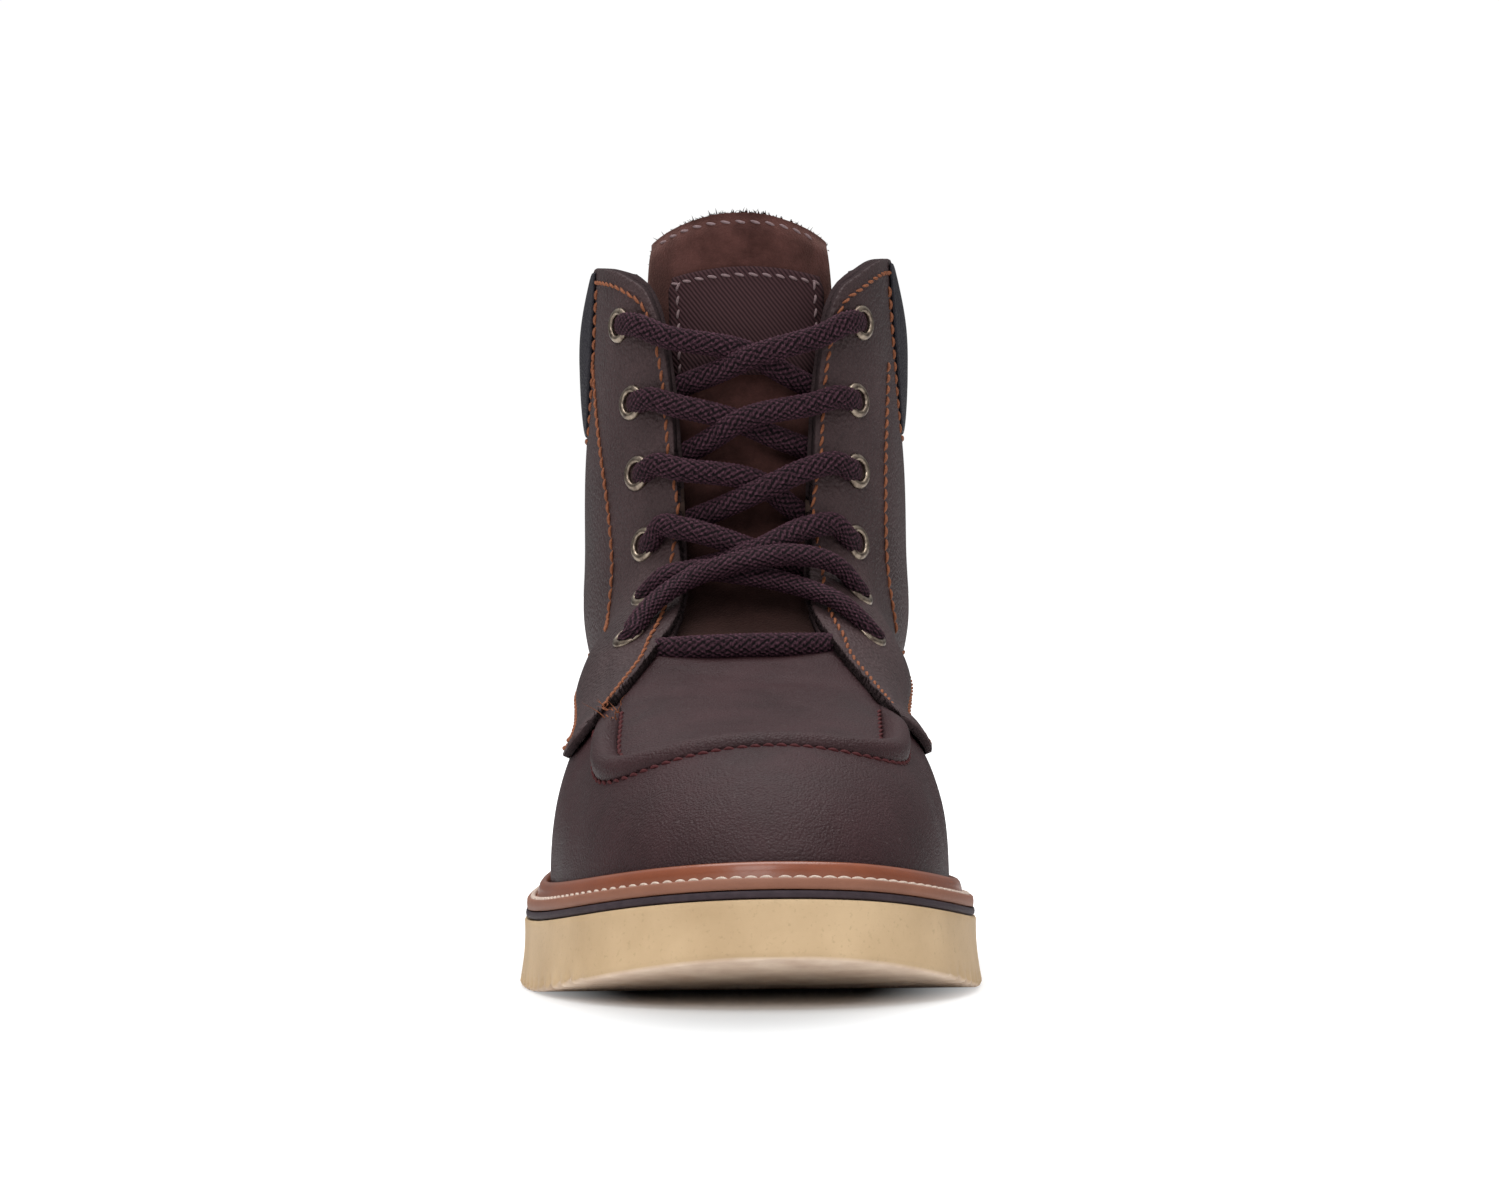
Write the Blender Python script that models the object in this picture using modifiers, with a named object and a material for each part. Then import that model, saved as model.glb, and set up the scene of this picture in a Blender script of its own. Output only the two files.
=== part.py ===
"""Work boot for the right foot: raised-seam toe, welted wedge sole, padded collar, six pairs of eyelets.

The last is one function of space, a foot form and a leg form run together at the instep. The upper, the
quarters, the collar pad, the toe seam roll and the tongue are all skins at set distances from it. The sole
pieces are stacked under it on one plan outline. Metres, +Z up, toe towards -Y, medial side at +X.
"""

import bmesh
import bpy
import numpy as np
from mathutils import Matrix, Vector


def table(columns, *rows):
    """Rows of numbers under named columns."""
    return dict(zip(columns.split(), np.array(rows, float).T))


# Driving sizes
LENGTH = 0.304
GAP = 0.0003
SEAT = 0.0011
MIDSOLE = 0.0028
WELT = 0.0027
WELT_ROLL = 0.0030
INSOLE = 0.0040
WALL = 0.0022
QUARTER = 0.0018
PAD = 0.0021
TONGUE = 0.0045
SOLE_FLARE = 0.0013
LIP_FRONT = 0.0065
LIP_BACK = 0.0046
TOE_SPRING = 0.0118
TOE_BREAK = 0.078
HEEL_BEVEL = 0.0020
HEEL_BREAK = 0.288
LEG_AXIS = 0.235
LACE = 0.0042

# Plan outline of the sole, measured from the toe tip, and the line of its upper face
SOLE_PLAN = table(
    "along lateral medial",
    (0.000, -0.0060, 0.0060),
    (0.005, 0.0140, 0.0270),
    (0.012, 0.0250, 0.0360),
    (0.025, 0.0370, 0.0455),
    (0.045, 0.0465, 0.0525),
    (0.070, 0.0530, 0.0558),
    (0.095, 0.0563, 0.0563),
    (0.120, 0.0560, 0.0520),
    (0.150, 0.0515, 0.0435),
    (0.180, 0.0460, 0.0380),
    (0.210, 0.0420, 0.0370),
    (0.240, 0.0405, 0.0385),
    (0.265, 0.0385, 0.0380),
    (0.285, 0.0318, 0.0318),
    (0.297, 0.0202, 0.0202),
    (0.304, 0.0000, 0.0000),
)
SOLE_TOP = table(
    "along top",
    (0.000, 0.0252),
    (0.030, 0.0203),
    (0.060, 0.0173),
    (0.095, 0.0160),
    (0.130, 0.0172),
    (0.170, 0.0210),
    (0.210, 0.0260),
    (0.250, 0.0305),
    (0.304, 0.0335),
)

# Foot form: height of the crown, reach of each side's curve in from the feather edge, how square a section is,
# and how far each side leans out past the feather edge above the sole
FOOT = table(
    "along crown lateral medial power lean_lateral lean_medial",
    (0.000, 0.0590, 0.0400, 0.0400, 2.00, 0.000, 0.000),
    (0.030, 0.0600, 0.0400, 0.0400, 2.15, 0.000, 0.000),
    (0.045, 0.0618, 0.0410, 0.0400, 2.40, 0.000, 0.001),
    (0.070, 0.0662, 0.0440, 0.0425, 2.75, 0.000, 0.001),
    (0.095, 0.0720, 0.0460, 0.0425, 2.95, 0.000, 0.001),
    (0.130, 0.0815, 0.0455, 0.0390, 3.10, 0.000, 0.003),
    (0.150, 0.0905, 0.0430, 0.0360, 3.20, 0.001, 0.006),
    (0.170, 0.0990, 0.0400, 0.0340, 3.20, 0.002, 0.009),
    (0.200, 0.1020, 0.0360, 0.0330, 2.80, 0.003, 0.009),
    (0.240, 0.0900, 0.0320, 0.0300, 2.40, 0.003, 0.004),
    (0.304, 0.0500, 0.0310, 0.0310, 2.20, 0.000, 0.000),
)
LEAN_RISE = 0.036

# Leg form: level ovals up the heel and shaft
LEG = table(
    "height front back lateral medial",
    (0.030, 0.205, 0.2985, 0.0345, 0.0322),
    (0.045, 0.200, 0.2998, 0.0368, 0.0350),
    (0.060, 0.190, 0.3000, 0.0383, 0.0374),
    (0.085, 0.174, 0.2968, 0.0412, 0.0412),
    (0.098, 0.170, 0.2932, 0.0424, 0.0424),
    (0.111, 0.171, 0.2905, 0.0426, 0.0426),
    (0.130, 0.1745, 0.2888, 0.0424, 0.0424),
    (0.149, 0.1792, 0.2885, 0.0412, 0.0412),
    (0.170, 0.1822, 0.2895, 0.0403, 0.0403),
    (0.186, 0.1832, 0.2915, 0.0396, 0.0396),
    (0.205, 0.1836, 0.2930, 0.0394, 0.0394),
)
LEG_POWER = 2.15
FILLET = 0.005
FILLET_INSTEP = 0.026

# Edge of the facing, seen from the front, from the vamp flap up to the collar corner
FACING = table(
    "height half_gap",
    (0.0590, 0.0418),
    (0.0660, 0.0362),
    (0.0830, 0.0225),
    (0.0905, 0.0178),
    (0.0980, 0.0160),
    (0.1110, 0.0165),
    (0.1300, 0.0172),
    (0.1500, 0.0182),
    (0.1660, 0.0195),
    (0.1735, 0.0222),
    (0.1790, 0.0270),
    (0.1830, 0.0325),
)
THROAT = 0.0812

# Collar line and lower edge of the quarter, from the front corner round to the back seam
COLLAR = table("turn height", (58, 0.1860), (80, 0.1828), (110, 0.1795), (145, 0.1770), (180, 0.1760))
QUARTER_FOOT = table(
    "along height",
    (0.088, 0.0720),
    (0.096, 0.0592),
    (0.102, 0.0582),
    (0.130, 0.0670),
    (0.160, 0.0810),
    (0.190, 0.0915),
    (0.235, 0.0940),
    (0.270, 0.0905),
    (0.300, 0.0860),
)
PAD_FRONT = table("turn height", (64, 0.1825), (70, 0.1620), (76, 0.1425))
PAD_FOOT = 0.1385

# Eyelets from the collar down, seen from the front
EYELETS = table(
    "height lateral medial",
    (0.170, 0.0333, 0.0319),
    (0.149, 0.0300, 0.0302),
    (0.130, 0.0286, 0.0300),
    (0.111, 0.0270, 0.0297),
    (0.098, 0.0262, 0.0298),
    (0.087, 0.0305, 0.0325),
)
EYELET_BORE = 0.0027
EYELET_BARREL = 0.0030
EYELET_RIM = 0.0047
EYELET_HOLE = 0.0034
EYELET_SIDES = 8

# Raised toe seam, in plan
ROLL_FRONT = 0.045
ROLL_CORNER = 0.074
ROLL_BACK = 0.0885
ROLL_HALF = 0.0360
ROLL_CENTRE = 0.0008
ROLL_POWER = 2.7

# Leather and rubber as base colour, roughness, metallic
FINISHES = {
    "outsole_rubber": ((0.55, 0.40, 0.24), 0.55, 0.0),
    "midsole_rubber": ((0.045, 0.028, 0.036), 0.60, 0.0),
    "welt_leather": ((0.27, 0.085, 0.035), 0.40, 0.0),
    "insole_board": ((0.36, 0.24, 0.14), 0.80, 0.0),
    "upper_leather": ((0.070, 0.044, 0.043), 0.48, 0.0),
    "collar_leather": ((0.030, 0.027, 0.035), 0.52, 0.0),
    "tongue_suede": ((0.070, 0.028, 0.024), 0.90, 0.0),
    "eyelet_brass": ((0.26, 0.19, 0.13), 0.35, 1.0),
    "lace_cord": ((0.050, 0.026, 0.034), 0.80, 0.0),
}


def through(at, rows_at, rows_value):
    """Smooth curve through table rows: cubic pieces whose slopes come from the neighbouring rows."""
    at = np.clip(at, rows_at[0], rows_at[-1])
    slope = np.gradient(rows_value, rows_at)
    cell = np.clip(np.searchsorted(rows_at, at) - 1, 0, len(rows_at) - 2)
    span = rows_at[cell + 1] - rows_at[cell]
    t = (at - rows_at[cell]) / span
    start, end = rows_value[cell], rows_value[cell + 1]
    rise = end - start
    left, right = slope[cell] * span, slope[cell + 1] * span
    return start + t * (left + t * (3 * rise - 2 * left - right + t * (left + right - 2 * rise)))


def resample(path, shares):
    """Points at shares of a polyline's length."""
    run = np.concatenate([[0.0], np.cumsum(np.linalg.norm(np.diff(path, axis=0), axis=1))])
    return np.stack([np.interp(shares * run[-1], run, path[:, k]) for k in range(path.shape[1])], axis=1)


def ease(value, start, end):
    """Smooth step from 0 at start to 1 at end."""
    t = np.clip((value - start) / (end - start), 0.0, 1.0)
    return t * t * (3.0 - 2.0 * t)


# Sole plan and levels

PLAN_FINE = 260

# Even steps round half the sole, toe to heel, with more of them at the waist, where the facing rises
RING_STEPS = table("step share", (0, 0.00), (12, 0.40), (23, 0.66), (32, 1.00))
RING_SHARES = np.interp(np.arange(RING_STEPS["step"][-1] + 1), RING_STEPS["step"], RING_STEPS["share"])


def lip(along):
    """How far the sole stands out past the upper."""
    return LIP_FRONT + (LIP_BACK - LIP_FRONT) * ease(along, 0.120, 0.210)


def sole_loop(inset):
    """Plan loop of (x, along), toe to heel by the lateral side and back, moved in by inset(along).

    The rows are joined as a curve in the angle whose cosine runs from toe to heel, so both ends are round.
    """
    angle = np.linspace(0.0, np.pi, PLAN_FINE + 1)
    along = LENGTH * (1.0 - np.cos(angle)) / 2.0
    row_angle = np.arccos(np.clip(1.0 - 2.0 * SOLE_PLAN["along"] / LENGTH, -1.0, 1.0))
    lateral = np.stack([-through(angle, row_angle, SOLE_PLAN["lateral"]), along], axis=1)
    medial = np.stack([through(angle, row_angle, SOLE_PLAN["medial"]), along], axis=1)
    loop = np.concatenate([lateral[:-1], medial[:0:-1]])
    tangent = np.roll(loop, -1, axis=0) - np.roll(loop, 1, axis=0)
    tangent /= np.linalg.norm(tangent, axis=1, keepdims=True)
    inward = np.stack([tangent[:, 1], -tangent[:, 0]], axis=1)
    return loop + inward * np.broadcast_to(inset(loop[:, 1]), len(loop))[:, None]


def sole_ring(inset, shares=RING_SHARES):
    """The plan loop at shares of each half: toe tip first, then lateral, heel and medial, in pairs."""
    loop = sole_loop(inset)
    lateral = resample(loop[: PLAN_FINE + 1], shares)
    medial = resample(np.concatenate([loop[PLAN_FINE:], loop[:1]]), 1.0 - shares[::-1])
    return np.concatenate([lateral, medial[1:-1]])


def sole_bottom(along):
    """Underside: flat under ball and heel, with toe spring in front and a small bevel behind."""
    toe = np.clip((TOE_BREAK - along) / TOE_BREAK, 0.0, 1.2)
    heel = np.clip((along - HEEL_BREAK) / (LENGTH - HEEL_BREAK), 0.0, 1.2)
    return TOE_SPRING * toe**1.8 + HEEL_BEVEL * heel**1.5


def sole_top(along):
    """Upper face of the outsole."""
    return through(along, SOLE_TOP["along"], SOLE_TOP["top"])


def feather(along):
    """Level where the upper meets the midsole."""
    return sole_top(along) + MIDSOLE + 2.0 * GAP


# The last

EDGE = sole_ring(lip, np.linspace(0.0, 1.0, 61))
EDGE_NEXT = np.roll(EDGE, -1, axis=0)
PROBE = 0.00004 * np.eye(3)


def inside_edge(x, along):
    """Distance in plan from the feather edge, positive inside it."""
    here = np.stack([x, along], axis=1)[:, None, :]
    run = (EDGE_NEXT - EDGE)[None]
    share = np.clip(((here - EDGE[None]) * run).sum(2) / (run * run).sum(2), 0.0, 1.0)
    away = np.linalg.norm(here - EDGE[None] - share[..., None] * run, axis=2).min(axis=1)
    above = EDGE[:, 1] > along[:, None]
    crosses = above != np.roll(above, -1, axis=1)
    rise = run[..., 1] + (run[..., 1] == 0)
    meet = EDGE[None, :, 0] + (along[:, None] - EDGE[None, :, 1]) / rise * run[..., 0]
    odd = (crosses & (meet > x[:, None])).sum(axis=1) % 2 == 1
    return np.where(odd, away, -away)


def foot_form(p):
    """Squared-off dome over the feather edge: walls rise from it and close at the crown line."""
    along = p[:, 1]
    rows = FOOT["along"]
    power = through(along, rows, FOOT["power"])
    middle = np.interp(along, SOLE_PLAN["along"], (SOLE_PLAN["medial"] - SOLE_PLAN["lateral"]) / 2.0)
    across = ease(p[:, 0] - middle, -0.008, 0.008)
    mixed = lambda lateral, medial: (1.0 - across) * through(along, rows, FOOT[lateral]) + across * through(
        along, rows, FOOT[medial]
    )
    base = feather(along)
    lean = mixed("lean_lateral", "lean_medial") * ease(p[:, 2] - base, 0.006, LEAN_RISE)
    side = np.clip(1.0 - (inside_edge(p[:, 0], along) + lean) / mixed("lateral", "medial"), 1e-6, None)
    rise = np.clip((p[:, 2] - base) / (through(along, rows, FOOT["crown"]) - base), 1e-6, None)
    return (side**power + rise**power) ** (1.0 / power) - 1.0


def leg_form(p):
    """Stack of level ovals, each with its own front, back and half widths."""
    rows = LEG["height"]
    front = LEG_AXIS - through(p[:, 2], rows, LEG["front"])
    back = through(p[:, 2], rows, LEG["back"]) - LEG_AXIS
    half = np.where(p[:, 0] < 0, through(p[:, 2], rows, LEG["lateral"]), through(p[:, 2], rows, LEG["medial"]))
    run = p[:, 1] - LEG_AXIS
    across = np.abs(p[:, 0]) / half
    length = np.abs(run) / np.where(run < 0, front, back)
    return (across**LEG_POWER + length**LEG_POWER + 1e-9) ** (1.0 / LEG_POWER) - 1.0


def slope_of(field, p):
    """Gradient by small steps."""
    here = field(p)
    return here, np.stack([(field(p + step) - here) / step.max() for step in PROBE], axis=1)


def away_from(form, p):
    """A form's value as a distance: the value over its slope."""
    value, slope = slope_of(form, p)
    return value / np.maximum(np.linalg.norm(slope, axis=1), 1.0)


def last(p):
    """Distance outside the last: foot and leg forms run together, with a wide curve at the front of the instep."""
    foot = away_from(foot_form, p)
    leg = away_from(leg_form, p)
    front = np.exp(-((p[:, 0] / 0.030) ** 2)) * (1.0 - ease(p[:, 1], 0.185, 0.215))
    fillet = FILLET + (FILLET_INSTEP - FILLET) * front
    mix = np.clip(0.5 + 0.5 * (leg - foot) / fillet, 0.0, 1.0)
    return leg * (1.0 - mix) + foot * mix - fillet * mix * (1.0 - mix)


def outward(p):
    """Unit normals of the last at points of (x, along, height)."""
    slope = slope_of(last, p)[1]
    return slope / np.linalg.norm(slope, axis=1, keepdims=True)


def cast(origin, direction, near, far, level=0.0):
    """Where rays leave the skin at a distance from the last, found by halving between near and far."""
    origin, direction = np.broadcast_arrays(origin, direction)
    low, high = np.full(len(origin), near), np.full(len(origin), far)
    for _ in range(24):
        middle = (low + high) / 2.0
        within = last(origin + middle[:, None] * direction) < level
        low, high = np.where(within, middle, low), np.where(within, high, middle)
    return origin + ((low + high) / 2.0)[:, None] * direction


def from_front(x, height, level=0.0):
    """Points of a skin seen from the front at (x, height)."""
    origin = np.stack([x, np.full(len(x), LEG_AXIS), height], axis=1)
    return cast(origin, np.array([0.0, -1.0, 0.0]), 0.0, 0.24, level)


def from_side(along, height, side, level=0.0):
    """Points of a skin seen from one side, -1 lateral or +1 medial."""
    origin = np.stack([np.zeros(len(along)), along, height], axis=1)
    return cast(origin, np.array([side, 0.0, 0.0]), 0.0, 0.08, level)


def from_above(x, along, level=0.0):
    """Points of a skin seen from above at (x, along)."""
    origin = np.stack([x, along, feather(along)], axis=1)
    return cast(origin, np.array([0.0, 0.0, 1.0]), 0.0, 0.1, level)


def around(turn, height, side, level=0.0):
    """Points of a skin at a turn about the leg axis, in degrees from the front, on one side."""
    angle = np.radians(turn)
    direction = np.stack([side * np.sin(angle), -np.cos(angle), np.zeros(len(angle))], axis=1)
    origin = np.stack([np.zeros(len(angle)), np.full(len(angle), LEG_AXIS), height], axis=1)
    return cast(origin, direction, 0.0, 0.26, level)


def curve_through(points, count):
    """Smooth curve through a few points, at even steps."""
    run = np.concatenate([[0.0], np.cumsum(np.linalg.norm(np.diff(points, axis=0), axis=1))])
    fine = np.linspace(0.0, run[-1], 40 * len(points))
    curve = np.stack([through(fine, run, points[:, k]) for k in range(3)], axis=1)
    return resample(curve, np.linspace(0.0, 1.0, count))


# Blender objects

for leftover in list(bpy.data.objects):
    bpy.data.objects.remove(leftover)
parts = bpy.data.collections.new("work_boot")
cutters = bpy.data.collections.new("cutters")
bpy.context.scene.collection.children.link(parts)
bpy.context.scene.collection.children.link(cutters)


def finish(name):
    """Principled material of a named finish."""
    colour, roughness, metallic = FINISHES[name]
    material = bpy.data.materials.get(name) or bpy.data.materials.new(name)
    material.use_nodes = True
    shader = material.node_tree.nodes["Principled BSDF"]
    shader.inputs["Base Color"].default_value = (*colour, 1.0)
    shader.inputs["Roughness"].default_value = roughness
    shader.inputs["Metallic"].default_value = metallic
    return material


def add(name, mesh, finish_name, collection=parts):
    """Link a mesh as a named object."""
    thing = bpy.data.objects.new(name, mesh)
    collection.objects.link(thing)
    if collection is cutters:
        thing.hide_render = True
        thing.display_type = "WIRE"
    else:
        mesh.materials.append(finish(finish_name))
        mesh.shade_smooth()
    return thing


def skin_mesh(name, points, faces, close=True):
    """Mesh from points of (x, along, height), moved so that the boot's middle is the origin."""
    mesh = bpy.data.meshes.new(name)
    world = np.asarray(points) - np.array([0.0, LENGTH / 2.0, 0.0])
    mesh.from_pydata(world.tolist(), [], faces)
    if close:
        shape = bmesh.new()
        shape.from_mesh(mesh)
        bmesh.ops.recalc_face_normals(shape, faces=shape.faces)
        shape.to_mesh(mesh)
        shape.free()
    return mesh


def grid_faces(rows, columns, first=0, wrap=False):
    """Quads of a grid of points, row after row."""
    across = columns if wrap else columns - 1
    index = lambda r, c: first + r * columns + c % columns
    return [
        (index(r, c), index(r, c + 1), index(r + 1, c + 1), index(r + 1, c))
        for r in range(rows - 1)
        for c in range(across)
    ]


def slab_mesh(name, under, over):
    """Closed solid between two matching grids of points."""
    rows, columns = under.shape[:2]
    size = rows * columns
    rim = [(0, c) for c in range(columns)]
    rim += [(r, columns - 1) for r in range(1, rows)]
    rim += [(rows - 1, c) for c in range(columns - 2, -1, -1)]
    rim += [(r, 0) for r in range(rows - 2, 0, -1)]
    rim = [r * columns + c for r, c in rim]
    walls = [(a, b, b + size, a + size) for a, b in zip(rim, rim[1:] + rim[:1])]
    faces = grid_faces(rows, columns) + grid_faces(rows, columns, size) + walls
    return skin_mesh(name, np.concatenate([under.reshape(-1, 3), over.reshape(-1, 3)]), faces)


def stack_mesh(name, rings):
    """Closed solid from plan rings, bottom to top, each a list of points; the ends are ladders of quads."""
    count = len(rings[0])
    half = count // 2
    faces = grid_faces(len(rings), count, wrap=True)
    for first in (0, (len(rings) - 1) * count):
        ladder = [(first, first + 1, first + count - 1)]
        ladder += [(first + i, first + i + 1, first + count - i - 1, first + count - i) for i in range(1, half - 1)]
        faces += ladder + [(first + half - 1, first + half, first + half + 1)]
    return skin_mesh(name, np.concatenate(rings), faces)


def ring_at(inset, level):
    """Plan ring moved in by inset(along), at level(along)."""
    plan = sole_ring(inset)
    return np.column_stack([plan, level(np.clip(plan[:, 1], 0.0, LENGTH))])


def cut(thing, tool, operation="DIFFERENCE"):
    """Boolean with another object."""
    modifier = thing.modifiers.new(operation.lower(), "BOOLEAN")
    modifier.operation = operation
    modifier.object = tool
    modifier.solver = "EXACT"


# Sole: outsole, midsole, welt and insole on one outline

def build_outsole():
    edge = 0.0012
    add("outsole", stack_mesh("outsole", [
        ring_at(lambda a: -SOLE_FLARE + edge, sole_bottom),
        ring_at(lambda a: -SOLE_FLARE, lambda a: sole_bottom(a) + edge),
        ring_at(lambda a: 0.0, sole_top),
    ]), "outsole_rubber")


def build_midsole():
    add("midsole", stack_mesh("midsole", [
        ring_at(lambda a: 0.0004, lambda a: sole_top(a) + GAP),
        ring_at(lambda a: 0.0004, lambda a: sole_top(a) + GAP + MIDSOLE),
    ]), "midsole_rubber")


def build_insole():
    inset = lambda a: lip(a) + WALL + 2.0 * GAP
    leaning = lambda a: inset(a) + 0.0006 + 0.0034 * (1.0 - ease(a, 0.010, 0.075))
    add("insole", stack_mesh("insole", [
        ring_at(inset, feather),
        ring_at(leaning, lambda a: feather(a) + INSOLE),
    ]), "insole_board")


def build_welt():
    """Flat lip with a rolled ridge against the upper, carried round the feather edge."""
    seat = lambda a: lip(a) - GAP
    profile = [
        (lambda a: 0.0006 + 0.0 * a, 0.0),
        (lambda a: 0.0006 + 0.0 * a, WELT),
        (lambda a: 0.42 * lip(a), WELT),
        (lambda a: 0.55 * lip(a), WELT + 0.8 * WELT_ROLL),
        (lambda a: 0.78 * lip(a), WELT + WELT_ROLL),
        (seat, WELT + 0.8 * WELT_ROLL),
        (seat, 0.0),
    ]
    rings = [ring_at(inset, lambda a, rise=rise: feather(a) + rise) for inset, rise in profile]
    points = np.concatenate(rings + rings[:1])
    count = len(rings[0])
    faces = grid_faces(len(rings) + 1, count, wrap=True)
    last_row = len(rings) * count
    faces = [tuple(i - last_row if i >= last_row else i for i in face) for face in faces]
    add("welt", skin_mesh("welt", points[:last_row], faces), "welt_leather")


# Upper: one wall from the feather edge to the collar and throat

UPPER_ROWS = 10

# The wall stands nearly upright behind the welt
UPPER_FOOT = WELT + WELT_ROLL + 0.001
FOOT_LEAN = 0.25

# Where each share of the feather edge ends on the half rim: toe to throat, waist to facing, heel to collar
RIM_SHARES = table("feather rim", (0.0, 0.0), (0.40, 0.08), (0.66, 0.50), (1.0, 1.0))


def half_rim(side):
    """Top edge from the throat up the facing and round the collar to the back, on one side."""
    above = FACING["height"] > THROAT + 0.005
    throat = from_front(side * np.array([0.0, 0.010, 0.0185]), THROAT + np.array([0.0, 0.0, 0.0028]))
    facing = from_front(side * FACING["half_gap"][above], FACING["height"][above])
    turn = np.linspace(COLLAR["turn"][0], COLLAR["turn"][-1], 16)
    collar = around(turn, through(turn, COLLAR["turn"], COLLAR["height"]), side)
    return curve_through(np.concatenate([throat, facing, collar]), 400)


def fan(side, shares):
    """Meridians of one side as (feather points, chords to the rim, centres behind the chords)."""
    loop = sole_loop(lip)
    half = loop[: PLAN_FINE + 1] if side < 0 else np.concatenate([loop[:1], loop[:PLAN_FINE - 1:-1]])
    plan = resample(half, shares)
    low = np.column_stack([plan, feather(plan[:, 1])])
    high = resample(half_rim(side), np.interp(shares, RIM_SHARES["feather"], RIM_SHARES["rim"]))
    run = resample(half, np.minimum(shares + 0.003, 1.0)) - resample(half, np.maximum(shares - 0.003, 0.0))
    out = side * np.stack([run[:, 1], -run[:, 0], np.zeros(len(run))], axis=1)
    chord = high - low
    size = np.linalg.norm(chord, axis=1, keepdims=True)
    out -= (out * chord).sum(axis=1, keepdims=True) / size**2 * chord
    out /= np.linalg.norm(out, axis=1, keepdims=True)
    return low, chord, (low + high) / 2.0 - 0.42 * size * out


def on_fan(meridians, share):
    """Skin points at shares of each meridian's chord (rows of shares), found by rays from its centre."""
    low, chord, centre = meridians
    toward = low[None] + share[..., None] * chord[None] - centre[None]
    origin = np.broadcast_to(centre[None], toward.shape)
    return cast(origin.reshape(-1, 3), toward.reshape(-1, 3), 0.2, 2.6).reshape(toward.shape)


def even_shares(meridians, start, end, rows, first=0.0):
    """Chord shares that space points evenly along each meridian, after a first step of a set length if given."""
    rough = start + (end - start) * np.linspace(0.0, 1.0, 4 * rows)[:, None]
    path = on_fan(meridians, rough)
    steps = np.linalg.norm(np.diff(path, axis=0), axis=2)
    run = np.concatenate([np.zeros((1, steps.shape[1])), np.cumsum(steps, axis=0)])
    columns = []
    for k in range(run.shape[1]):
        places = np.linspace(first, run[-1, k], rows - 1) if first else np.linspace(0.0, run[-1, k], rows)[1:]
        columns.append(np.interp(np.concatenate([[0.0], places]), run[:, k], rough[:, k]))
    return np.stack(columns, axis=1)


def build_upper():
    """Lateral and medial meridians side by side, with the wall's inner skin inside them, flat at the sole."""
    lateral = fan(-1.0, RING_SHARES)
    medial = fan(1.0, RING_SHARES[-2:0:-1])
    meridians = [np.concatenate(pair) for pair in zip(lateral, medial)]
    count = len(meridians[0])
    outer = on_fan(meridians, even_shares(meridians, np.zeros(count), np.ones(count), UPPER_ROWS, UPPER_FOOT))
    outer[0], outer[-1] = meridians[0], meridians[0] + meridians[1]
    outer[1, :, :2] = outer[0, :, :2] + FOOT_LEAN * (outer[1, :, :2] - outer[0, :, :2])
    outer[1, :, 2] = outer[0, :, 2] + UPPER_FOOT
    inner = outer - WALL * outward(outer.reshape(-1, 3)).reshape(outer.shape)
    inner[0] = ring_at(lambda a: lip(a) + WALL, feather)
    rings = np.concatenate([outer, inner[::-1]])
    rows = len(rings)
    faces = grid_faces(rows, count, wrap=True)
    faces += [(c, (rows - 1) * count + c, (rows - 1) * count + (c + 1) % count, (c + 1) % count) for c in range(count)]
    return add("upper", skin_mesh("upper", rings.reshape(-1, 3), faces), "upper_leather")


# Overlays on the upper

QUARTER_ROWS = 10
QUARTER_SHARES = (0.12, 0.9985)


def quarter_span(meridians):
    """Chord shares where each meridian enters the quarter over its foot and leaves it past the flap's front."""
    share = np.repeat(np.linspace(0.0, 1.0, 81)[:, None], len(meridians[0]), axis=1)
    p = on_fan(meridians, share)
    foot = p[..., 2] - through(p[..., 1], QUARTER_FOOT["along"], QUARTER_FOOT["height"])
    front = np.abs(p[..., 0]) - through(p[..., 2], FACING["height"], FACING["half_gap"])
    front = np.where((p[..., 2] < THROAT + 0.008) & (p[..., 1] < LEG_AXIS), front, 1.0)
    inside = np.minimum(foot, front)
    steps, columns = len(inside) - 1, np.arange(inside.shape[1])
    first = np.clip(np.argmax(inside > 0, axis=0), 1, steps)
    last_in = np.clip(steps - np.argmax(inside[::-1] > 0, axis=0), 0, steps - 1)
    enter = inside[first, columns] / (inside[first, columns] - inside[first - 1, columns])
    leave = inside[last_in, columns] / (inside[last_in, columns] - inside[last_in + 1, columns] + 1e-12)
    end = np.where(inside[-1] > 0, 1.0, (last_in + leave) / steps)
    return (first - enter) / steps, np.where((inside > 0).any(axis=0), end, 0.0)


def build_quarter(name, side):
    """Panel over the shaft, from the facing edge and the flap on the vamp round to the back seam.

    It lies on the upper's own meridians, with one more at the tip of the flap.
    """
    first, back = QUARTER_SHARES
    trial = np.linspace(first, 0.40, 60)
    start, end = quarter_span(fan(side, trial))
    tip = trial[np.argmax(end - start > 0.02)]
    shares = RING_SHARES[RING_SHARES > tip + 0.01]
    meridians = fan(side, np.concatenate([[tip], shares[:-1], [back]]))
    start, end = quarter_span(meridians)
    base = on_fan(meridians, even_shares(meridians, start, end, QUARTER_ROWS))
    normal = outward(base.reshape(-1, 3)).reshape(base.shape)
    return add(name, slab_mesh(name, base + SEAT * normal, base + (SEAT + QUARTER) * normal), "upper_leather")


def skin_patch(plan, side, inner, outer):
    """Slab grids over a (turn, height) plan: the skin at two distances from the last."""
    rows, columns = plan.shape[:2]
    base = around(plan[..., 0].ravel(), plan[..., 1].ravel(), side)
    normal = outward(base)
    lift = lambda by: (base + normal * np.reshape(by, (-1, 1))).reshape(rows, columns, 3)
    return lift(np.broadcast_to(inner, (rows, columns))), lift(np.broadcast_to(outer, (rows, columns)))


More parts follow.
